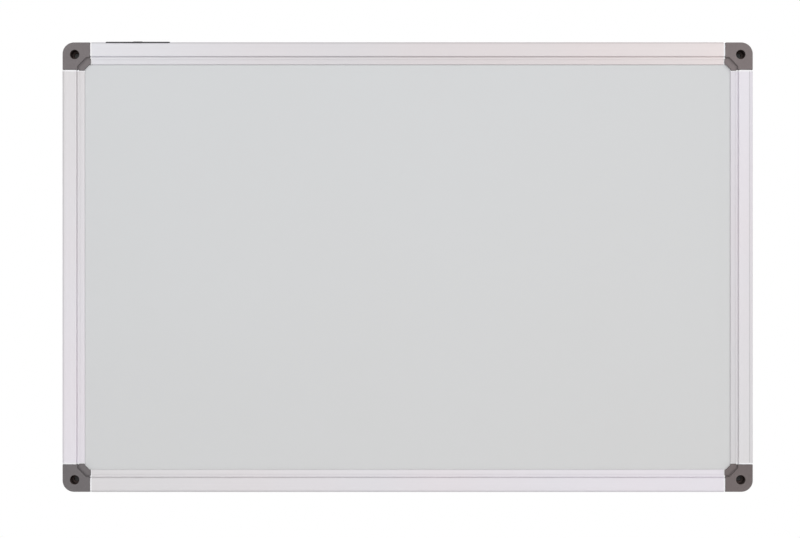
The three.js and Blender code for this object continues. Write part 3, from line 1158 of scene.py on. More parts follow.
@dataclass(frozen=True)
class RailSection:
    """Section of a rail: x runs inward from the outer edge and y forward from the wall."""

    depth: float
    wall: float = 1.2 * MM
    face_width: float = FACE_WIDTH
    groove_width: float = GROOVE_WIDTH
    groove_depth: float = 1.6 * MM
    groove_root: float = 0.15 * MM
    lip_width: float = 6.1 * MM
    lip_thickness: float = 1.2 * MM
    lip_step: float = 0.7 * MM
    lip_fall: float = 0.6 * MM
    line_inset: float = 1.9 * MM
    line_width: float = 0.4 * MM
    line_depth: float = 0.18 * MM
    front_round: float = 2.5 * MM
    rear_round: float = 0.8 * MM
    rear_foot: float = 2 * MM
    rear_recess: float = 2 * MM
    rear_lip_width: float = 5.1 * MM
    rear_lip_thickness: float = 1.2 * MM
    rear_lip_round: float = 0.4 * MM
    chamber_round: float = 1 * MM
    arris: float = 0.3 * MM
    root_round: float = 0.4 * MM
    bead_share: float = 0.48

    @property
    def groove_centre(self) -> float:
        """Middle of the groove."""
        return self.face_width + self.groove_width / 2

    @property
    def groove_end(self) -> float:
        """Inner side of the groove."""
        return self.face_width + self.groove_width

    @property
    def width(self) -> float:
        """Width of the rail, from its outer edge to the edge of its lip."""
        return self.groove_end + self.lip_width

    @property
    def web_outer(self) -> float:
        """Chamber side of the inner web."""
        return self.groove_centre - self.wall / 2

    @property
    def web_inner(self) -> float:
        """Panel side of the inner web."""
        return self.groove_centre + self.wall / 2

    @property
    def rear_lip_edge(self) -> float:
        """Edge of the rear lip."""
        return self.web_inner + self.rear_lip_width

    @property
    def lip_underside(self) -> float:
        """Level of the front lip's underside."""
        return self.depth - self.lip_step - self.lip_fall - self.lip_thickness

    @property
    def chamber_low(self) -> float:
        """Level of the chamber's floor."""
        return self.rear_recess + self.wall

    @property
    def chamber_high(self) -> float:
        """Level of the chamber's ceiling."""
        return self.depth - self.wall

    @property
    def chamber_centre(self) -> float:
        """Middle of the chamber's width."""
        return (self.wall + self.web_outer) / 2

    def lip_level(self, place: float) -> float:
        """Level of the lip's sloping front face at a place across it."""
        share = (place - self.groove_end) / self.lip_width
        return self.depth - self.lip_step - self.lip_fall * share

    def outer(self) -> list[Vector]:
        """The section's outer outline.

        Returns:
            Its points, anticlockwise.
        """
        bead = self.lip_thickness * self.bead_share
        line = self.groove_end + self.line_inset
        line_low, line_high = line - self.line_width / 2, line + self.line_width / 2
        return filleted([
            (0, 0, self.rear_round),
            (self.rear_foot, 0, self.arris),
            (self.rear_foot, self.rear_recess, self.root_round),
            (self.web_outer, self.rear_recess, self.root_round),
            (self.web_outer, 0, self.arris),
            (self.rear_lip_edge, 0, self.rear_lip_round),
            (self.rear_lip_edge, self.rear_lip_thickness, self.rear_lip_round),
            (self.web_inner, self.rear_lip_thickness, self.root_round),
            (self.web_inner, self.lip_underside, self.root_round),
            (self.width, self.lip_underside, bead),
            (self.width, self.lip_level(self.width), bead),
            (line_high, self.lip_level(line_high), 0),
            (line, self.lip_level(line) - self.line_depth, 0),
            (line_low, self.lip_level(line_low), 0),
            (self.groove_end, self.depth - self.lip_step, self.arris),
            (self.groove_centre, self.depth - self.groove_depth, self.groove_root),
            (self.face_width, self.depth, self.arris),
            (0, self.depth, self.front_round),
        ])

    def chamber(self) -> list[Vector]:
        """The chamber's outline.

        Returns:
            Its points, anticlockwise.
        """
        return filleted([
            (self.wall, self.chamber_low, self.chamber_round),
            (self.web_outer, self.chamber_low, self.chamber_round),
            (self.web_outer, self.chamber_high, self.chamber_round),
            (self.wall, self.chamber_high, self.chamber_round),
        ])


@dataclass
class Rails:
    """The four hollow rails, with deburred saw-cut ends, a painted highlight beside them and the screw
    holes in their back walls.
    """

    board: Board
    section: RailSection
    cap_size: float
    screw_reach: float
    end_fit: float = 0.2 * MM
    burr_length: float = 0.7 * MM
    burr_depth: float = 0.25 * MM
    # Bare cut metal, and a painted highlight on the faces next to each end, reach this far from the
    # end
    bright_length: float = 1.4 * MM
    hole_diameter: float = 3.5 * MM
    segment: float = 24 * MM

    def build(self) -> None:
        """Makes each side's rail."""
        for side in Side:
            mesh = self.rail_mesh(self.board.length(side))
            finish = RAIL_FINISHES.get(side, RAIL_FINISH)
            add_piece(
                f"{side.rail_name}_extrusion", mesh, (finish, CUT_FINISH), side.rail_name,
                self.board.placement(side), variant=side.value,
            )
            self.mark_cut_ends(mesh, self.half_length(self.board.length(side)))

    def half_length(self, side_length: float) -> float:
        """Half the length of the rail on a side."""
        return side_length / 2 - self.cap_size - self.end_fit

    def rail_mesh(self, side_length: float) -> bpy.types.Mesh:
        """Rail with its holes drilled.

        Args:
            side_length: length of the board along that side.

        Returns:
            A closed mesh, in the edge frame.
        """
        holes = []
        section = self.section
        screw_place = side_length / 2 - self.cap_size - self.screw_reach
        for place in (-screw_place, screw_place):
            holes.append(post(
                place, section.chamber_centre, section.rear_recess - OVERRUN,
                section.chamber_low + OVERRUN, self.hole_diameter / 2,
            ))
        return combined(self.bar(self.half_length(side_length)), Operation.CUT, *holes)

    def bar(self, half: float) -> bpy.types.Mesh:
        """Hollow bar, with its arrises broken at both ends.

        Args:
            half: half the bar's length.

        Returns:
            A closed mesh.
        """
        outer, chamber = self.section.outer(), self.section.chamber()
        square = half - self.burr_length
        dull = half - self.bright_length
        count = round(2 * dull / self.segment)
        middle = [(-dull + 2 * dull * i / count, 0) for i in range(count + 1)]
        start, end = (-half, self.burr_depth), (half, self.burr_depth)
        stations = [start, (-square, 0), *middle, (square, 0), end]
        bm = bmesh.new()
        skins = (
            skin(bm, [along_rail(inset(outer, burr), place) for place, burr in stations]),
            skin(bm, [along_rail(inset(chamber, -burr), place) for place, burr in stations]),
        )
        bm.edges.ensure_lookup_table()
        for index in (0, -1):
            loops = [rows[index] for rows in skins]
            edges = [
                bm.edges.get((loop[i - 1], loop[i])) for loop in loops for i in range(len(loop))
            ]
            bmesh.ops.triangle_fill(bm, edges=edges, use_beauty=True)
        return finished(bm, "rail_bar")

    def mark_cut_ends(self, mesh: bpy.types.Mesh, half: float) -> None:
        """Gives the second finish to the faces of a rail's two ends and to the painted highlight on
        the faces next to them.

        Args:
            mesh: the rail's mesh.
            half: half the rail's length.
        """
        for face in mesh.polygons:
            if abs(face.center.x) > half - self.bright_length:
                face.material_index = 1


@dataclass
class CornerCaps:
    """The four moulded corner caps, each with its lip, its wall screw hole and two tongues."""

    board: Board
    section: RailSection
    pocket_radius: float
    inset: float = 0.4 * MM
    proud: float = 0.5 * MM
    corner_radius: float = 10 * MM
    edge_round: float = 0.6 * MM
    rear_round: float = 0.35 * MM
    wall: float = 2 * MM
    front_wall: float = 2.5 * MM
    hollow_round: float = 0.8 * MM
    ceiling_round: float = 0.5 * MM
    rib_thickness: float = 1.4 * MM
    rib_setback: float = 1 * MM
    lip_step: float = 0.5 * MM
    lip_round: float = 0.25 * MM
    groove_depth: float = 1 * MM
    step_inset: float = STEP_INSET
    step_chamfer: float = STEP_CHAMFER
    step_gap: float = 1.3 * MM
    lip_chamfer: float = 3.8 * MM
    lip_land: float = 0.6 * MM
    flap_length: float = 0.8 * MM
    flap_fit: float = 0.2 * MM
    hole_inset: float = 10.9 * MM
    hole_diameter: float = 4.5 * MM
    bore_diameter: float = 7.9 * MM
    bore_floor: float = 3 * MM
    bore_rim: float = 0.6 * MM
    boss_wall: float = 2.2 * MM
    tongue_length: float = 25 * MM
    tongue_fit: float = 0.4 * MM
    tongue_wall: float = 1.6 * MM
    tongue_front_wall: float = 1.8 * MM
    lead_length: float = 2.5 * MM
    lead_depth: float = 0.8 * MM
    screw_boss_diameter: float = 7 * MM
    crush_height: float = 0.2 * MM
    crush_width: float = 0.8 * MM
    screw_reach: float = 12 * MM
    screw_hole_diameter: float = 3.5 * MM
    screw_hole_skin: float = 0.5 * MM

    @property
    def size(self) -> float:
        """Length of the cap along each rail, from the board's corner."""
        return self.section.width + self.lip_chamfer + self.lip_land

    @property
    def front(self) -> float:
        """Level of the cap's front face."""
        return self.section.depth + self.proud

    @property
    def lip_front(self) -> float:
        """Level of the lip's front face."""
        return self.front - self.lip_step

    def build(self) -> None:
        """Makes the cap once, and places it at each corner."""
        moulding = self.cap_mesh()
        for side in Side:
            node = f"corner_cap_{side.corner_name}"
            placement = self.board.placement(side, -self.board.length(side) / 2)
            finishes = (CAP_FINISHES[side], BORE_PAINTED_SHADE)
            mesh = moulding.copy()
            add_piece(f"{node}_moulding", mesh, finishes, node, placement, variant=side.value)
            self.mark_bore(mesh)
        bpy.data.meshes.remove(moulding)

    def mark_bore(self, mesh: bpy.types.Mesh) -> None:
        """Gives the second finish, a darker grey that paints the shade of the deep hole, to the walls
        and the floor of a cap's wall screw hole.

        Args:
            mesh: the cap's mesh.
        """
        axis = Vector((self.hole_inset, self.hole_inset))
        reach = self.bore_diameter / 2 + self.bore_rim / 2
        for face in mesh.polygons:
            deep = MM < face.center.z < self.front - self.bore_rim / 2
            if deep and (face.center.xy - axis).length < reach:
                face.material_index = 1

    def cap_mesh(self) -> bpy.types.Mesh:
        """The whole moulding, with the board's corner at the origin.

        Returns:
            A closed mesh, in the edge frame.
        """
        body = self.body()
        body = combined(body, Operation.JOIN, self.lip(), self.tongue(), self.other_tongue())
        return combined(body, Operation.CUT, self.wall_screw_cut())

    def outline(self) -> list[Vector]:
        """Cap from the front: square, rounded outside and with a chamfered step inside.

        Returns:
            Its points, anticlockwise.
        """
        face = self.step_inset
        return filleted([
            (self.inset, self.inset, self.corner_radius),
            (self.size, self.inset, 0),
            (self.size, face, 0),
            (face + self.step_chamfer, face, 0),
            (face, face + self.step_chamfer, 0),
            (face, self.size, 0),
            (self.inset, self.size, 0),
        ], CORNER_STEPS)

    def angle(self, outer: float, inner: float, end: float) -> list[Vector]:
        """Angle with a chamfered inner corner, under the cap's step or behind the panel.

        Args:
            outer: how far in its two outer sides lie.
            inner: how far in its two inner sides lie.
            end: where both legs end.

        Returns:
            Its points, anticlockwise.
        """
        return [Vector(corner) for corner in (
            (outer, outer),
            (end, outer),
            (end, inner),
            (inner + self.lip_chamfer, inner),
            (inner, inner + self.lip_chamfer),
            (inner, end),
            (outer, end),
        )]

    def body(self) -> bpy.types.Mesh:
        """Cap without its lip and tongues: a hollow shell with a pocket for the panel's corner.

        Returns:
            A closed mesh.
        """
        section = self.section
        beyond = self.size + OVERRUN
        start = self.step_inset - OVERRUN
        groove_floor = self.lip_front - self.groove_depth
        corner = filleted([
            (section.web_inner, section.web_inner, self.pocket_radius),
            (beyond, section.web_inner, 0),
            (beyond, beyond, 0),
            (section.web_inner, beyond, 0),
        ])
        pocket = prism(corner, section.rear_lip_thickness, section.lip_underside)
        shell = prism(self.outline(), 0, self.front, self.rear_round, self.edge_round)
        shell = combined(shell, Operation.CUT, pocket, self.hollow())
        rear_lip = prism(
            self.angle(start, section.rear_lip_edge, self.size), 0, section.rear_lip_thickness,
        )
        lip_base = prism(
            self.angle(start, section.width, self.size), section.lip_underside, groove_floor,
        )
        return combined(shell, Operation.JOIN, rear_lip, lip_base)

    def hollow(self) -> bpy.types.Mesh:
        """Hollow in the cap's back, round the screw boss and three ribs.

        Returns:
            The cutter that makes it.
        """
        low = self.inset + self.wall
        inner = self.section.web_inner - self.wall
        end = self.size - self.wall
        top = self.front - self.front_wall
        points = filleted([
            (low, low, self.corner_radius - self.wall),
            (end, low, self.hollow_round),
            (end, inner, self.hollow_round),
            (inner, inner, 0),
            (inner, end, self.hollow_round),
            (low, end, self.hollow_round),
        ])
        place = self.hole_inset
        boss_radius = self.bore_diameter / 2 + self.boss_wall
        hollow = prism(points, -OVERRUN, top, high_round=self.ceiling_round)
        boss = post(place, place, -2 * OVERRUN, top + OVERRUN, boss_radius)
        return combined(hollow, Operation.CUT, boss, *self.ribs(end + OVERRUN, top + OVERRUN))

    def ribs(self, end: float, top: float) -> list[bpy.types.Mesh]:
        """Ribs from the boss to both end walls and to the rounded corner.

        Args:
            end: where the two straight ribs end.
            top: the level that all three reach.

        Returns:
            The three ribs.
        """
        half = self.rib_thickness / 2
        middle, place = self.section.chamber_centre, self.hole_inset
        diagonal = block((-place, -half, self.rib_setback), (0, half, top))
        turn = Matrix.Translation((place, place, 0)) @ Matrix.Rotation(QUARTER / 2, 4, "Z")
        diagonal.transform(turn)
        return [
            block((place, middle - half, self.rib_setback), (end, middle + half, top)),
            block((middle - half, place, self.rib_setback), (middle + half, end, top)),
            diagonal,
        ]

    def lip(self) -> bpy.types.Mesh:
        """Raised lip beyond the groove, whose ends reach over the rails' lips.

        Returns:
            A closed mesh.
        """
        section = self.section
        end = self.size + self.flap_length
        diagonal = self.step_chamfer - self.step_gap * (2 - math.sqrt(2))
        start, inner = self.step_inset + self.step_gap, section.width
        points = [Vector(corner) for corner in (
            (start + diagonal, start),
            (end, start),
            (end, inner),
            (inner + self.lip_chamfer, inner),
            (inner, inner + self.lip_chamfer),
            (inner, end),
            (start, end),
            (start, start + diagonal),
        )]
        below = section.lip_underside - OVERRUN
        beyond = end + OVERRUN
        over = section.depth - section.lip_step + self.flap_fit
        pad = prism(points, section.lip_underside, self.lip_front, high_round=self.lip_round)
        over_x_rail = block((self.size, 0, below), (beyond, beyond, over))
        over_y_rail = block((0, self.size, below), (beyond, beyond, over))
        return combined(pad, Operation.CUT, over_x_rail, over_y_rail)

    def wall_screw_cut(self) -> bpy.types.Mesh:
        """Clearance hole, deep counterbore and rounded rim for the wall screw.

        Returns:
            The cutter that makes them.
        """
        place = self.hole_inset
        hole, bore = self.hole_diameter / 2, self.bore_diameter / 2
        profile = [(hole, -OVERRUN), (hole, self.bore_floor), (bore, self.bore_floor)]
        for step in range(EDGE_STEPS + 1):
            angle = QUARTER * step / EDGE_STEPS
            radius = bore + self.bore_rim * (1 - math.cos(angle))
            profile.append((radius, self.front - self.bore_rim * (1 - math.sin(angle))))
        profile.append((bore + self.bore_rim, self.front + OVERRUN))
        return lofted([circle(radius, height, place, place) for radius, height in profile])

    def tongue(self) -> bpy.types.Mesh:
        """Tongue along x: a tapered shell, open behind, with a boss and a cross rib at its screw.

        Returns:
            A closed mesh.
        """
        section = self.section
        root, tip = self.size - self.wall, self.size + self.tongue_length
        low, high = section.wall + self.tongue_fit, section.web_outer - self.tongue_fit
        back = section.chamber_low + self.tongue_fit
        front = section.chamber_high - self.tongue_fit
        screw_place = self.size + self.screw_reach
        ceiling = front - self.tongue_front_wall
        half_rib = self.rib_thickness / 2
        lead = tip - self.lead_length
        rings = []
        for place, drop in ((root, 0), (lead, 0), (tip, self.lead_depth)):
            box = (
                (low + drop, back + drop), (high - drop, back + drop),
                (high - drop, front - drop), (low + drop, front - drop),
            )
            rings.append(along_rail([Vector(corner) for corner in box], place))
        boss = post(
            screw_place, section.chamber_centre, back - OVERRUN, front, self.screw_boss_diameter / 2,
        )
        cross = block(
            (screw_place - half_rib, low, back - OVERRUN),
            (screw_place + half_rib, high, ceiling + OVERRUN),
        )
        hollow = block(
            (self.size, low + self.tongue_wall, back - OVERRUN),
            (tip - self.tongue_wall, high - self.tongue_wall, ceiling),
        )
        hollow = combined(hollow, Operation.CUT, boss, cross)
        body = combined(lofted(rings), Operation.CUT, hollow)
        body = combined(body, Operation.JOIN, *self.crush_ribs(root, lead, low, high, back, front))
        screw_hole = post(
            screw_place, section.chamber_centre, back - OVERRUN, front - self.screw_hole_skin,
            self.screw_hole_diameter / 2,
        )
        return combined(body, Operation.CUT, screw_hole)

    def crush_ribs(
        self, near: float, far: float, low: float, high: float, back: float, front: float,
    ) -> list[bpy.types.Mesh]:
        """Low ribs that centre the tongue in its chamber: two in front and one on each side.

        Args:
            near: where the ribs start along x.
            far: where they have run out.
            low: the tongue's outer side.
            high: its inner side.
            back: its back.
            front: its front.

        Returns:
            Four wedges that sink into the tongue's faces.
        """
        half = self.crush_width / 2
        middle = (back + front) / 2
        sunk = self.crush_width
        faces = (
            (Vector((0, low + self.tongue_wall, front)), Vector((0, 0, 1)), Vector((0, half, 0))),
            (Vector((0, high - self.tongue_wall, front)), Vector((0, 0, 1)), Vector((0, half, 0))),
            (Vector((0, low, middle)), Vector((0, -1, 0)), Vector((0, 0, half))),
            (Vector((0, high, middle)), Vector((0, 1, 0)), Vector((0, 0, half))),
        )
        ribs = []
        for foot, outward, across in faces:
            rings = []
            for place, rise in (
                (near, self.crush_height), (far - self.crush_width, self.crush_height), (far, 0),
            ):
                crown = outward * rise
                root = -outward * sunk
                along = Vector((place, 0, 0)) + foot
                rings.append([
                    along + root - across, along + root + across,
                    along + crown + across / 2, along + crown - across / 2,
                ])
            ribs.append(lofted(rings))
        return ribs

    def other_tongue(self) -> bpy.types.Mesh:
        """The same tongue along y, because a tongue is symmetric about the chamber's middle.

        Returns:
            A closed mesh.
        """
        turned = Matrix.Translation((2 * self.section.chamber_centre, 0, 0))
        mesh = self.tongue()
        mesh.transform(turned @ Matrix.Rotation(QUARTER, 4, "Z"))
        return mesh


@dataclass
class CornerScrews:
    """Eight self-tapping pan-head screws, driven from behind through the rails into the caps."""

    board: Board
    section: RailSection
    cap_size: float
    screw_reach: float
    seat_fit: float = 0.2 * MM
    major_diameter: float = 2.9 * MM
    core_diameter: float = 2.1 * MM
    length: float = 9.5 * MM
    point_length: float = 2.4 * MM
    tip_diameter: float = 0.3 * MM
    pitch: float = 1.1 * MM
    plain_length: float = 0.5 * MM
    head_diameter: float = 5.6 * MM
    head_height: float = 1.7 * MM
    head_edge: float = 0.5 * MM
    recess_span: float = 3.2 * MM
    recess_width: float = 0.8 * MM
    recess_depth: float = 1.1 * MM
    recess_taper: float = 0.55
    sides: int = 36
    steps_per_pitch: int = 10
    crest_share: float = 0.3
    side_turn: float = math.radians(37)
    letter_turn: float = math.radians(61)

    def build(self) -> None:
        """Makes the screw once, and places two at each corner."""
        screw = self.screw_mesh()
        far = self.cap_size + self.screw_reach
        near = self.section.chamber_centre
        level = Matrix.Translation((0, 0, self.section.rear_recess - self.seat_fit))
        for side in Side:
            start = -self.board.length(side) / 2
            for letter, along, inward in (("a", far, near), ("b", near, far)):
                node = f"corner_screw_{side.corner_name}_{letter}"
                placement = self.board.placement(side, start + along, inward)
                driven = self.side_turn * side.value + self.letter_turn * (letter == "b")
                turn = Matrix.Rotation(driven, 4, "Z")
                add_piece(
                    f"{node}_threaded", screw.copy(), (SCREW_FINISH,), node,
                    placement @ level @ turn, variant=side.value,
                )
        bpy.data.meshes.remove(screw)

    def radius(self, height: float, turn: float) -> float:
        """Radius of the threaded shank.

        Args:
            height: distance from the head's underside.
            turn: angle about the axis, in turns.

        Returns:
            The distance of the surface from the axis.
        """
        start = self.length - self.point_length
        taper = 1 - max(0, height - start) / self.point_length
        core = self.core_diameter / 2 * taper + self.tip_diameter / 2 * (1 - taper)
        phase = (height / self.pitch - turn) % 1
        crest = max(0, 1 - abs(phase - 0.5) / self.crest_share)
        lead = min(1, max(0, (height - self.plain_length) / self.pitch))
        return core + (self.major_diameter - self.core_diameter) / 2 * crest * lead * taper ** 0.5

    def screw_mesh(self) -> bpy.types.Mesh:
        """Screw along z, with the underside of its head at the origin and its head behind.

        Returns:
            A closed mesh.
        """
        head = self.head_diameter / 2
        dome = self.head_height - self.head_edge
        rings = []
        for step in range(1, ARC_STEPS + 1):
            angle = QUARTER * step / ARC_STEPS
            rings.append(circle(
                head * math.sin(angle), -self.head_edge - dome * math.cos(angle), steps=self.sides,
            ))
        rings.append(circle(head, 0, steps=self.sides))
        rings.append(circle(self.core_diameter / 2, 0, steps=self.sides))
        count = round(self.length / self.pitch * self.steps_per_pitch)
        for step in range(1, count + 1):
            height = self.length * step / count
            ring = circle(1, height, steps=self.sides)
            for index, point in enumerate(ring):
                reach = self.radius(height, index / self.sides)
                point.xy = point.xy * reach
            rings.append(ring)
        return combined(lofted(rings), Operation.CUT, self.recess())

    def recess(self) -> bpy.types.Mesh:
        """Cross recess, which narrows towards its floor.

        Returns:
            The cutter that makes it.
        """
        rings = []
        for height, scale in (
            (-self.head_height - OVERRUN, 1),
            (-self.head_height, 1),
            (-self.head_height + self.recess_depth, self.recess_taper),
        ):
            span, width = self.recess_span / 2 * scale, self.recess_width / 2 * scale
            arm = [(span, -width), (span, width), (width, width)]
            points = []
            for quarter in range(4):
                turn = Matrix.Rotation(QUARTER * quarter, 2)
                points += [turn @ Vector(corner) for corner in arm]
            rings.append(at_height(points, height))
        return lofted(rings)


@dataclass
class Panel:
    """The lacquered front sheet and the galvanised backing sheet, on a fibreboard core."""

    front_ripple: float = 0.03 * MM
    back_ripple: float = 0.06 * MM
    ripple_size: float = 140 * MM
    cell: float = 12 * MM
    corner_radius: float = 4 * MM
    corner_cells: int = 6
    side_fit: float = 0.3 * MM

    def build(self) -> None:
        """Makes both sheets, and finishes the core."""
        front = self.sheet_mesh("writing_sheet", self.front_ripple)
        add_piece("writing_sheet_lacquered", front, (SHEET_FINISH,), "writing_sheet")
        back = self.sheet_mesh("backing_sheet", self.back_ripple)
        add_piece("backing_sheet_galvanised", back, (BACKING_FINISH,), "backing_sheet", variant=1)
        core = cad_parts["core_board"]
        core.data.materials.clear()
        core.data.materials.append(CORE_FINISH.material())
        LOG.info("core_board: the frame's own solid, in pressed fibre")

    def lines(self, low: float, high: float) -> list[float]:
        """Places of the sheet's grid lines along one axis, close together in its corners.

        Args:
            low: the sheet's first edge.
            high: its last edge.

        Returns:
            The places, in rising order.
        """
        corner = [self.corner_radius * i / self.corner_cells for i in range(self.corner_cells)]
        start, end = low + self.corner_radius, high - self.corner_radius
        count = round((end - start) / self.cell)
        middle = [start + (end - start) * i / count for i in range(count + 1)]
        return [low + c for c in corner] + middle + [high - c for c in reversed(corner)]

    def rounded(self, x: float, z: float, low: Vector, high: Vector) -> tuple[float, float]:
        """Moves a grid point of a corner square into the rounded corner.

        Args:
            x: the point's place along the width.
            z: its height.
            low: the sheet's first corner.
            high: its last corner.

        Returns:
            The point's new place and height.
        """
        radius = self.corner_radius
        from_x = max(low.x + radius - x, 0) + min(high.x - radius - x, 0)
        from_z = max(low.z + radius - z, 0) + min(high.z - radius - z, 0)
        share_x, share_z = from_x / radius, from_z / radius
        shift_x = from_x * (1 - math.sqrt(1 - share_z ** 2 / 2))
        shift_z = from_z * (1 - math.sqrt(1 - share_x ** 2 / 2))
        return x + shift_x, z + shift_z

    def sheet_mesh(self, node: str, ripple: float) -> bpy.types.Mesh:
        """Sheet with rounded corners, which ripples very slightly between its edges.

        Args:
            node: the frame's node, whose box the sheet fills.
            ripple: greatest depth of the ripple.

        Returns:
            A closed mesh, in the frame.
        """
        low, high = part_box(node)
        columns, rows = self.lines(low.x, high.x), self.lines(low.z, high.z)
        bm = bmesh.new()
        sides = []
        for level in (low.y, high.y):
            grid = []
            for x in columns:
                line = []
                for z in rows:
                    edge = min(x - low.x, high.x - x, z - low.z, high.z - z) / self.ripple_size
                    wave = noise.noise(Vector((x, ripple, z)) / self.ripple_size)
                    place_x, place_z = self.rounded(x, z, low, high)
                    depth = level + ripple * wave * min(1, 2 * edge)
                    line.append(bm.verts.new((place_x, depth, place_z)))
                grid.append(line)
            for near, far in zip(grid, grid[1:]):
                for i in range(len(near) - 1):
                    bm.faces.new((near[i], near[i + 1], far[i + 1], far[i]))
            sides.append(self.border(grid))
        front, back = sides
        for i in range(len(front)):
            bm.faces.new((front[i - 1], front[i], back[i], back[i - 1]))
        return finished(bm, node)

    def border(self, grid: Sequence[Sequence[bmesh.types.BMVert]]) -> list[bmesh.types.BMVert]:
        """The grid's outer vertices.

        Args:
            grid: its vertices, column by column.

        Returns:
            The vertices in order round it.
        """
        near, far = list(grid[0]), list(grid[-1])
        high = [line[-1] for line in grid[1:-1]]
        low = [line[0] for line in grid[1:-1]]
        return near + high + far[::-1] + low[::-1]


@dataclass
class EdgeStrip:
    """Thin dark strip on the top rail's outer edge, with a slightly thicker middle."""

    board: Board
    section: RailSection
    start: float = 37.7 * MM
    length: float = 55.6 * MM
    thickness: float = 0.35 * MM
    glue: float = 0.1 * MM
    setback: float = 3 * MM
    middle_length: float = 8 * MM
    middle_rise: float = 0.25 * MM
    ramp: float = 1.2 * MM
    end_round: float = 0.8 * MM
    end_fall: float = 0.8
    wrap: float = math.radians(50)
    node: str = "top_edge_strip"

    def build(self) -> None:
        """Makes the strip on the top rail."""
        along = self.board.width / 2 - self.start - self.length / 2
        add_piece(
            "top_edge_strip_film", self.strip_mesh(), (STRIP_FINISH,), self.node,
            self.board.placement(Side.TOP, along),
        )

    def thickness_at(self, place: float) -> float:
        """Thickness of the strip, with rounded ends and a smooth rise to its middle.

        Args:
            place: distance from the strip's middle.

        Returns:
            The thickness there.
        """
        to_end = min(1, (self.length / 2 - abs(place)) / self.end_round)
        body = self.thickness * math.sqrt(1 - self.end_fall * (1 - to_end) ** 2)
        reach = (self.middle_length / 2 - abs(place)) / self.ramp + 0.5
        share = min(1, max(0, reach))
        return body + self.middle_rise * share * share * (3 - 2 * share)

    def strip_mesh(self) -> bpy.types.Mesh:
        """Strip that lies on the rail's outer face and wraps onto its front edge.

        Returns:
            A closed mesh, in the edge frame.
        """
        half = self.length / 2
        ends = [self.end_round * step / EDGE_STEPS for step in range(EDGE_STEPS)]
        ramp_start = self.middle_length / 2 - self.ramp / 2
        ramp = [ramp_start + self.ramp * step / EDGE_STEPS for step in range(EDGE_STEPS + 1)]
        right = [*ramp, *(half - end for end in reversed(ends))]
        places = [-place for place in reversed(right)] + right
        rings = [along_rail(self.profile(self.thickness_at(place)), place) for place in places]
        return lofted(rings)

    def profile(self, thickness: float) -> list[Vector]:
        """Section of the strip at one thickness.

        Args:
            thickness: its thickness.

        Returns:
            The section's points.
        """
        rounding = self.section.front_round
        inner = rounding + self.glue
        outer = inner + thickness
        level = self.section.depth - rounding
        points = [Vector((rounding - inner, self.setback)), Vector((rounding - inner, level))]
        angles = [math.pi - self.wrap * step / ARC_STEPS for step in range(1, ARC_STEPS + 1)]
        for radius, turns in ((inner, angles), (outer, [*reversed(angles), math.pi])):
            for angle in turns:
                points.append(Vector((
                    rounding + radius * math.cos(angle), level + radius * math.sin(angle),
                )))
        points.append(Vector((rounding - outer, self.setback)))
        return points


# Studio


@dataclass(frozen=True)
class Lamp:
    """Square soft lamp that points at the board's middle."""

    name: str
    place: tuple[float, float, float]
    size: float
    level: float
    shows_in_gloss: bool = True

    def build(self) -> None:
        """Adds the lamp, bright enough to light a white board to its level, a share of white."""
        place = Vector(self.place)
        data = bpy.data.lights.new(self.name, "AREA")
        data.size = self.size
        data.energy = self.level * math.pi ** 2 * place.length ** 3 / abs(place.y)
        lamp = bpy.data.objects.new(self.name, data)
        lamp.location = place
        lamp.rotation_euler = (-place).to_track_quat("-Z", "Y").to_euler()
        lamp.visible_glossy = self.shows_in_gloss
        bpy.context.scene.collection.objects.link(lamp)


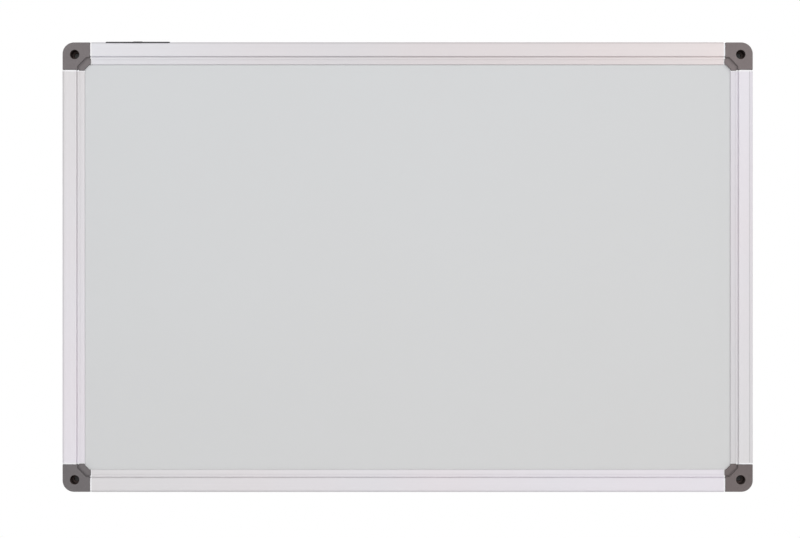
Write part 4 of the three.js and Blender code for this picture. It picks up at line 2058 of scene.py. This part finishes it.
@dataclass
class Studio:
    """Camera, lamps, world, floor and the wall seen through the screw holes, painted dark as shade."""

    board: Board
    section: RailSection
    caps: CornerCaps
    lens: float = 85
    sensor: float = 36
    image_width: int = 800
    image_height: int = 538
    photo_left: float = 62.6
    photo_right: float = 752.7
    photo_top: float = 42.3
    photo_bottom: float = 491.95
    world_level: float = 0.34
    lamps: tuple[Lamp, ...] = (
        Lamp("key_lamp", (-0.1, -3.9, 0.9), 2.4, 0.585, shows_in_gloss=False),
        Lamp("fill_lamp", (2.4, -2.8, 1.4), 1.4, 0.11, shows_in_gloss=False),
        Lamp("rear_lamp", (1.7, 2.2, 1.7), 1.2, 0.32),
    )
    floor_level: float = -0.5
    floor_radius: float = 1.3
    floor_fade: float = 0.6
    floor_tone: float = 0.8
    floor_roughness: float = 0.9
    floor_glow: float = 0.28
    # The wall behind the screw holes blocks light as a wall does; its dark tone is painted shade
    wall_tone: float = 0.1
    shade_depth: float = 0.4 * MM

    def build(self) -> None:
        """Sets the studio up round the board."""
        self.add_camera()
        self.add_world()
        for lamp in self.lamps:
            lamp.build()
        self.add_floor()
        for side in Side:
            self.add_hole_shade(side)
        scene = bpy.context.scene
        scene.view_settings.view_transform = "Standard"

    def add_camera(self) -> None:
        """Camera that sees the board's front where the photograph has it."""
        metres = self.board.width / (self.photo_right - self.photo_left)
        centre_x = (self.photo_left + self.photo_right) / 2 - self.image_width / 2
        centre_y = (self.photo_top + self.photo_bottom) / 2 - self.image_height / 2
        distance = self.image_width * metres * self.lens / self.sensor
        plane = self.board.depth - self.section.front_round
        data = bpy.data.cameras.new("photo_camera")
        data.lens, data.sensor_width = self.lens, self.sensor
        camera = bpy.data.objects.new("photo_camera", data)
        camera.location = (-centre_x * metres, -plane - distance, centre_y * metres)
        camera.rotation_euler = (QUARTER, 0, 0)
        bpy.context.scene.collection.objects.link(camera)
        bpy.context.scene.camera = camera

    def add_world(self) -> None:
        """White surroundings for the camera and for gloss, and a plain level of light for the rest."""
        world = bpy.data.worlds.new("studio_world")
        world.use_nodes = True
        tree = world.node_tree
        light = tree.nodes["Background"]
        light.inputs["Color"].default_value = (1, 1, 1, 1)
        light.inputs["Strength"].default_value = self.world_level
        seen = tree.nodes.new("ShaderNodeBackground")
        seen.inputs["Color"].default_value = (1, 1, 1, 1)
        seen.inputs["Strength"].default_value = 1
        mixed = tree.nodes.new("ShaderNodeMixShader")
        tree.links.new(self.seen_share(tree), mixed.inputs["Fac"])
        tree.links.new(light.outputs["Background"], mixed.inputs[1])
        tree.links.new(seen.outputs["Background"], mixed.inputs[2])
        tree.links.new(mixed.outputs["Shader"], tree.nodes["World Output"].inputs["Surface"])
        world.cycles.sampling_method = "NONE"
        bpy.context.scene.world = world

    def seen_share(self, tree: bpy.types.NodeTree) -> bpy.types.NodeSocket:
        """Share that is 1 for a ray from the camera, a gloss or a glass, and 0 for one that lights.

        Args:
            tree: the node tree that uses it.

        Returns:
            The socket with the share.
        """
        path = tree.nodes.new("ShaderNodeLightPath")
        share = path.outputs["Is Camera Ray"]
        for ray in ("Is Glossy Ray", "Is Transmission Ray"):
            either = tree.nodes.new("ShaderNodeMath")
            either.operation = "MAXIMUM"
            tree.links.new(share, either.inputs[0])
            tree.links.new(path.outputs[ray], either.inputs[1])
            share = either.outputs["Value"]
        return share

    def add_floor(self) -> None:
        """Pale round floor well below the board, which fades out at its rim."""
        bm = bmesh.new()
        bmesh.ops.create_circle(bm, cap_ends=True, segments=2 * TURN_STEPS, radius=self.floor_radius)
        mesh = bpy.data.meshes.new("studio_floor")
        bm.to_mesh(mesh)
        bm.free()
        shader = Shader("pale_floor")
        shader.set(
            Base_Color=(*[self.floor_tone] * 3, 1),
            Roughness=self.floor_roughness,
            Specular_IOR_Level=0,
        )
        glow = shader.node("ShaderNodeMath", operation="MULTIPLY")
        glow.inputs[1].default_value = self.floor_glow
        shader.join(self.seen_share(shader.tree), glow.inputs[0])
        shader.join(glow.outputs["Value"], shader.surface.inputs["Emission Strength"])
        reach = shader.node("ShaderNodeVectorMath", operation="LENGTH")
        shader.join(shader.place(), reach.inputs[0])
        fade = shader.node("ShaderNodeMapRange", interpolation_type="SMOOTHSTEP")
        fade.inputs["From Min"].default_value = self.floor_radius - self.floor_fade
        fade.inputs["From Max"].default_value = self.floor_radius
        shader.join(reach.outputs["Value"], fade.inputs["Value"])
        self.show_through(shader, fade.outputs["Result"])
        mesh.materials.append(shader.material)
        floor = bpy.data.objects.new("studio_floor", mesh)
        floor.location.z = self.floor_level
        bpy.context.scene.collection.objects.link(floor)

    def show_through(self, shader: Shader, share: bpy.types.NodeSocket) -> None:
        """Makes a material see-through by a share of its surface.

        Args:
            shader: the material's shader.
            share: the share that lets everything through.
        """
        clear = shader.node("ShaderNodeBsdfTransparent")
        mixed = shader.node("ShaderNodeMixShader")
        shader.join(share, mixed.inputs["Fac"])
        shader.join(shader.surface.outputs["BSDF"], mixed.inputs[1])
        shader.join(clear.outputs["BSDF"], mixed.inputs[2])
        shader.join(mixed.outputs["Shader"], shader.output.inputs["Surface"])

    def add_hole_shade(self, side: Side) -> None:
        """Puts the wall's surface behind a screw hole, seen only from the front, with its dark tone as
        painted shade.

        Args:
            side: the side whose first corner holds the hole.
        """
        name = f"wall_behind_{side.corner_name}_hole"
        radius = self.caps.hole_diameter / 2 + self.shade_depth / 2
        bm = bmesh.new()
        bm.faces.new([bm.verts.new(point) for point in circle(radius, self.shade_depth)])
        mesh = bpy.data.meshes.new(name)
        bm.to_mesh(mesh)
        bm.free()
        made = bpy.data.materials.get("wall_in_shade")
        if made is None:
            shader = Shader("wall_in_shade")
            shader.set(Base_Color=(*[self.wall_tone] * 3, 1), Roughness=1, Specular_IOR_Level=0)
            geometry = shader.node("ShaderNodeNewGeometry")
            self.show_through(shader, geometry.outputs["Backfacing"])
            made = shader.material
        mesh.materials.append(made)
        shade = bpy.data.objects.new(name, mesh)
        start = self.caps.hole_inset - self.board.length(side) / 2
        shade.matrix_world = self.board.placement(side, start, self.caps.hole_inset)
        bpy.context.scene.collection.objects.link(shade)


def main() -> None:
    """Builds the board's sub-assemblies in order, and the studio round them."""
    logging.basicConfig(level=logging.INFO, format="%(name)s: %(message)s")
    board = Board.from_frame()
    section = RailSection(board.depth)
    panel = Panel()
    caps = CornerCaps(board, section, panel.corner_radius + panel.side_fit)
    builders: list[Callable[[], None]] = [
        Studio(board, section, caps).build,
        panel.build,
        Rails(board, section, caps.size, caps.screw_reach).build,
        caps.build,
        CornerScrews(board, section, caps.size, caps.screw_reach).build,
        EdgeStrip(board, section).build,
    ]
    for build in builders:
        build()


if __name__ == "__main__":
    main()
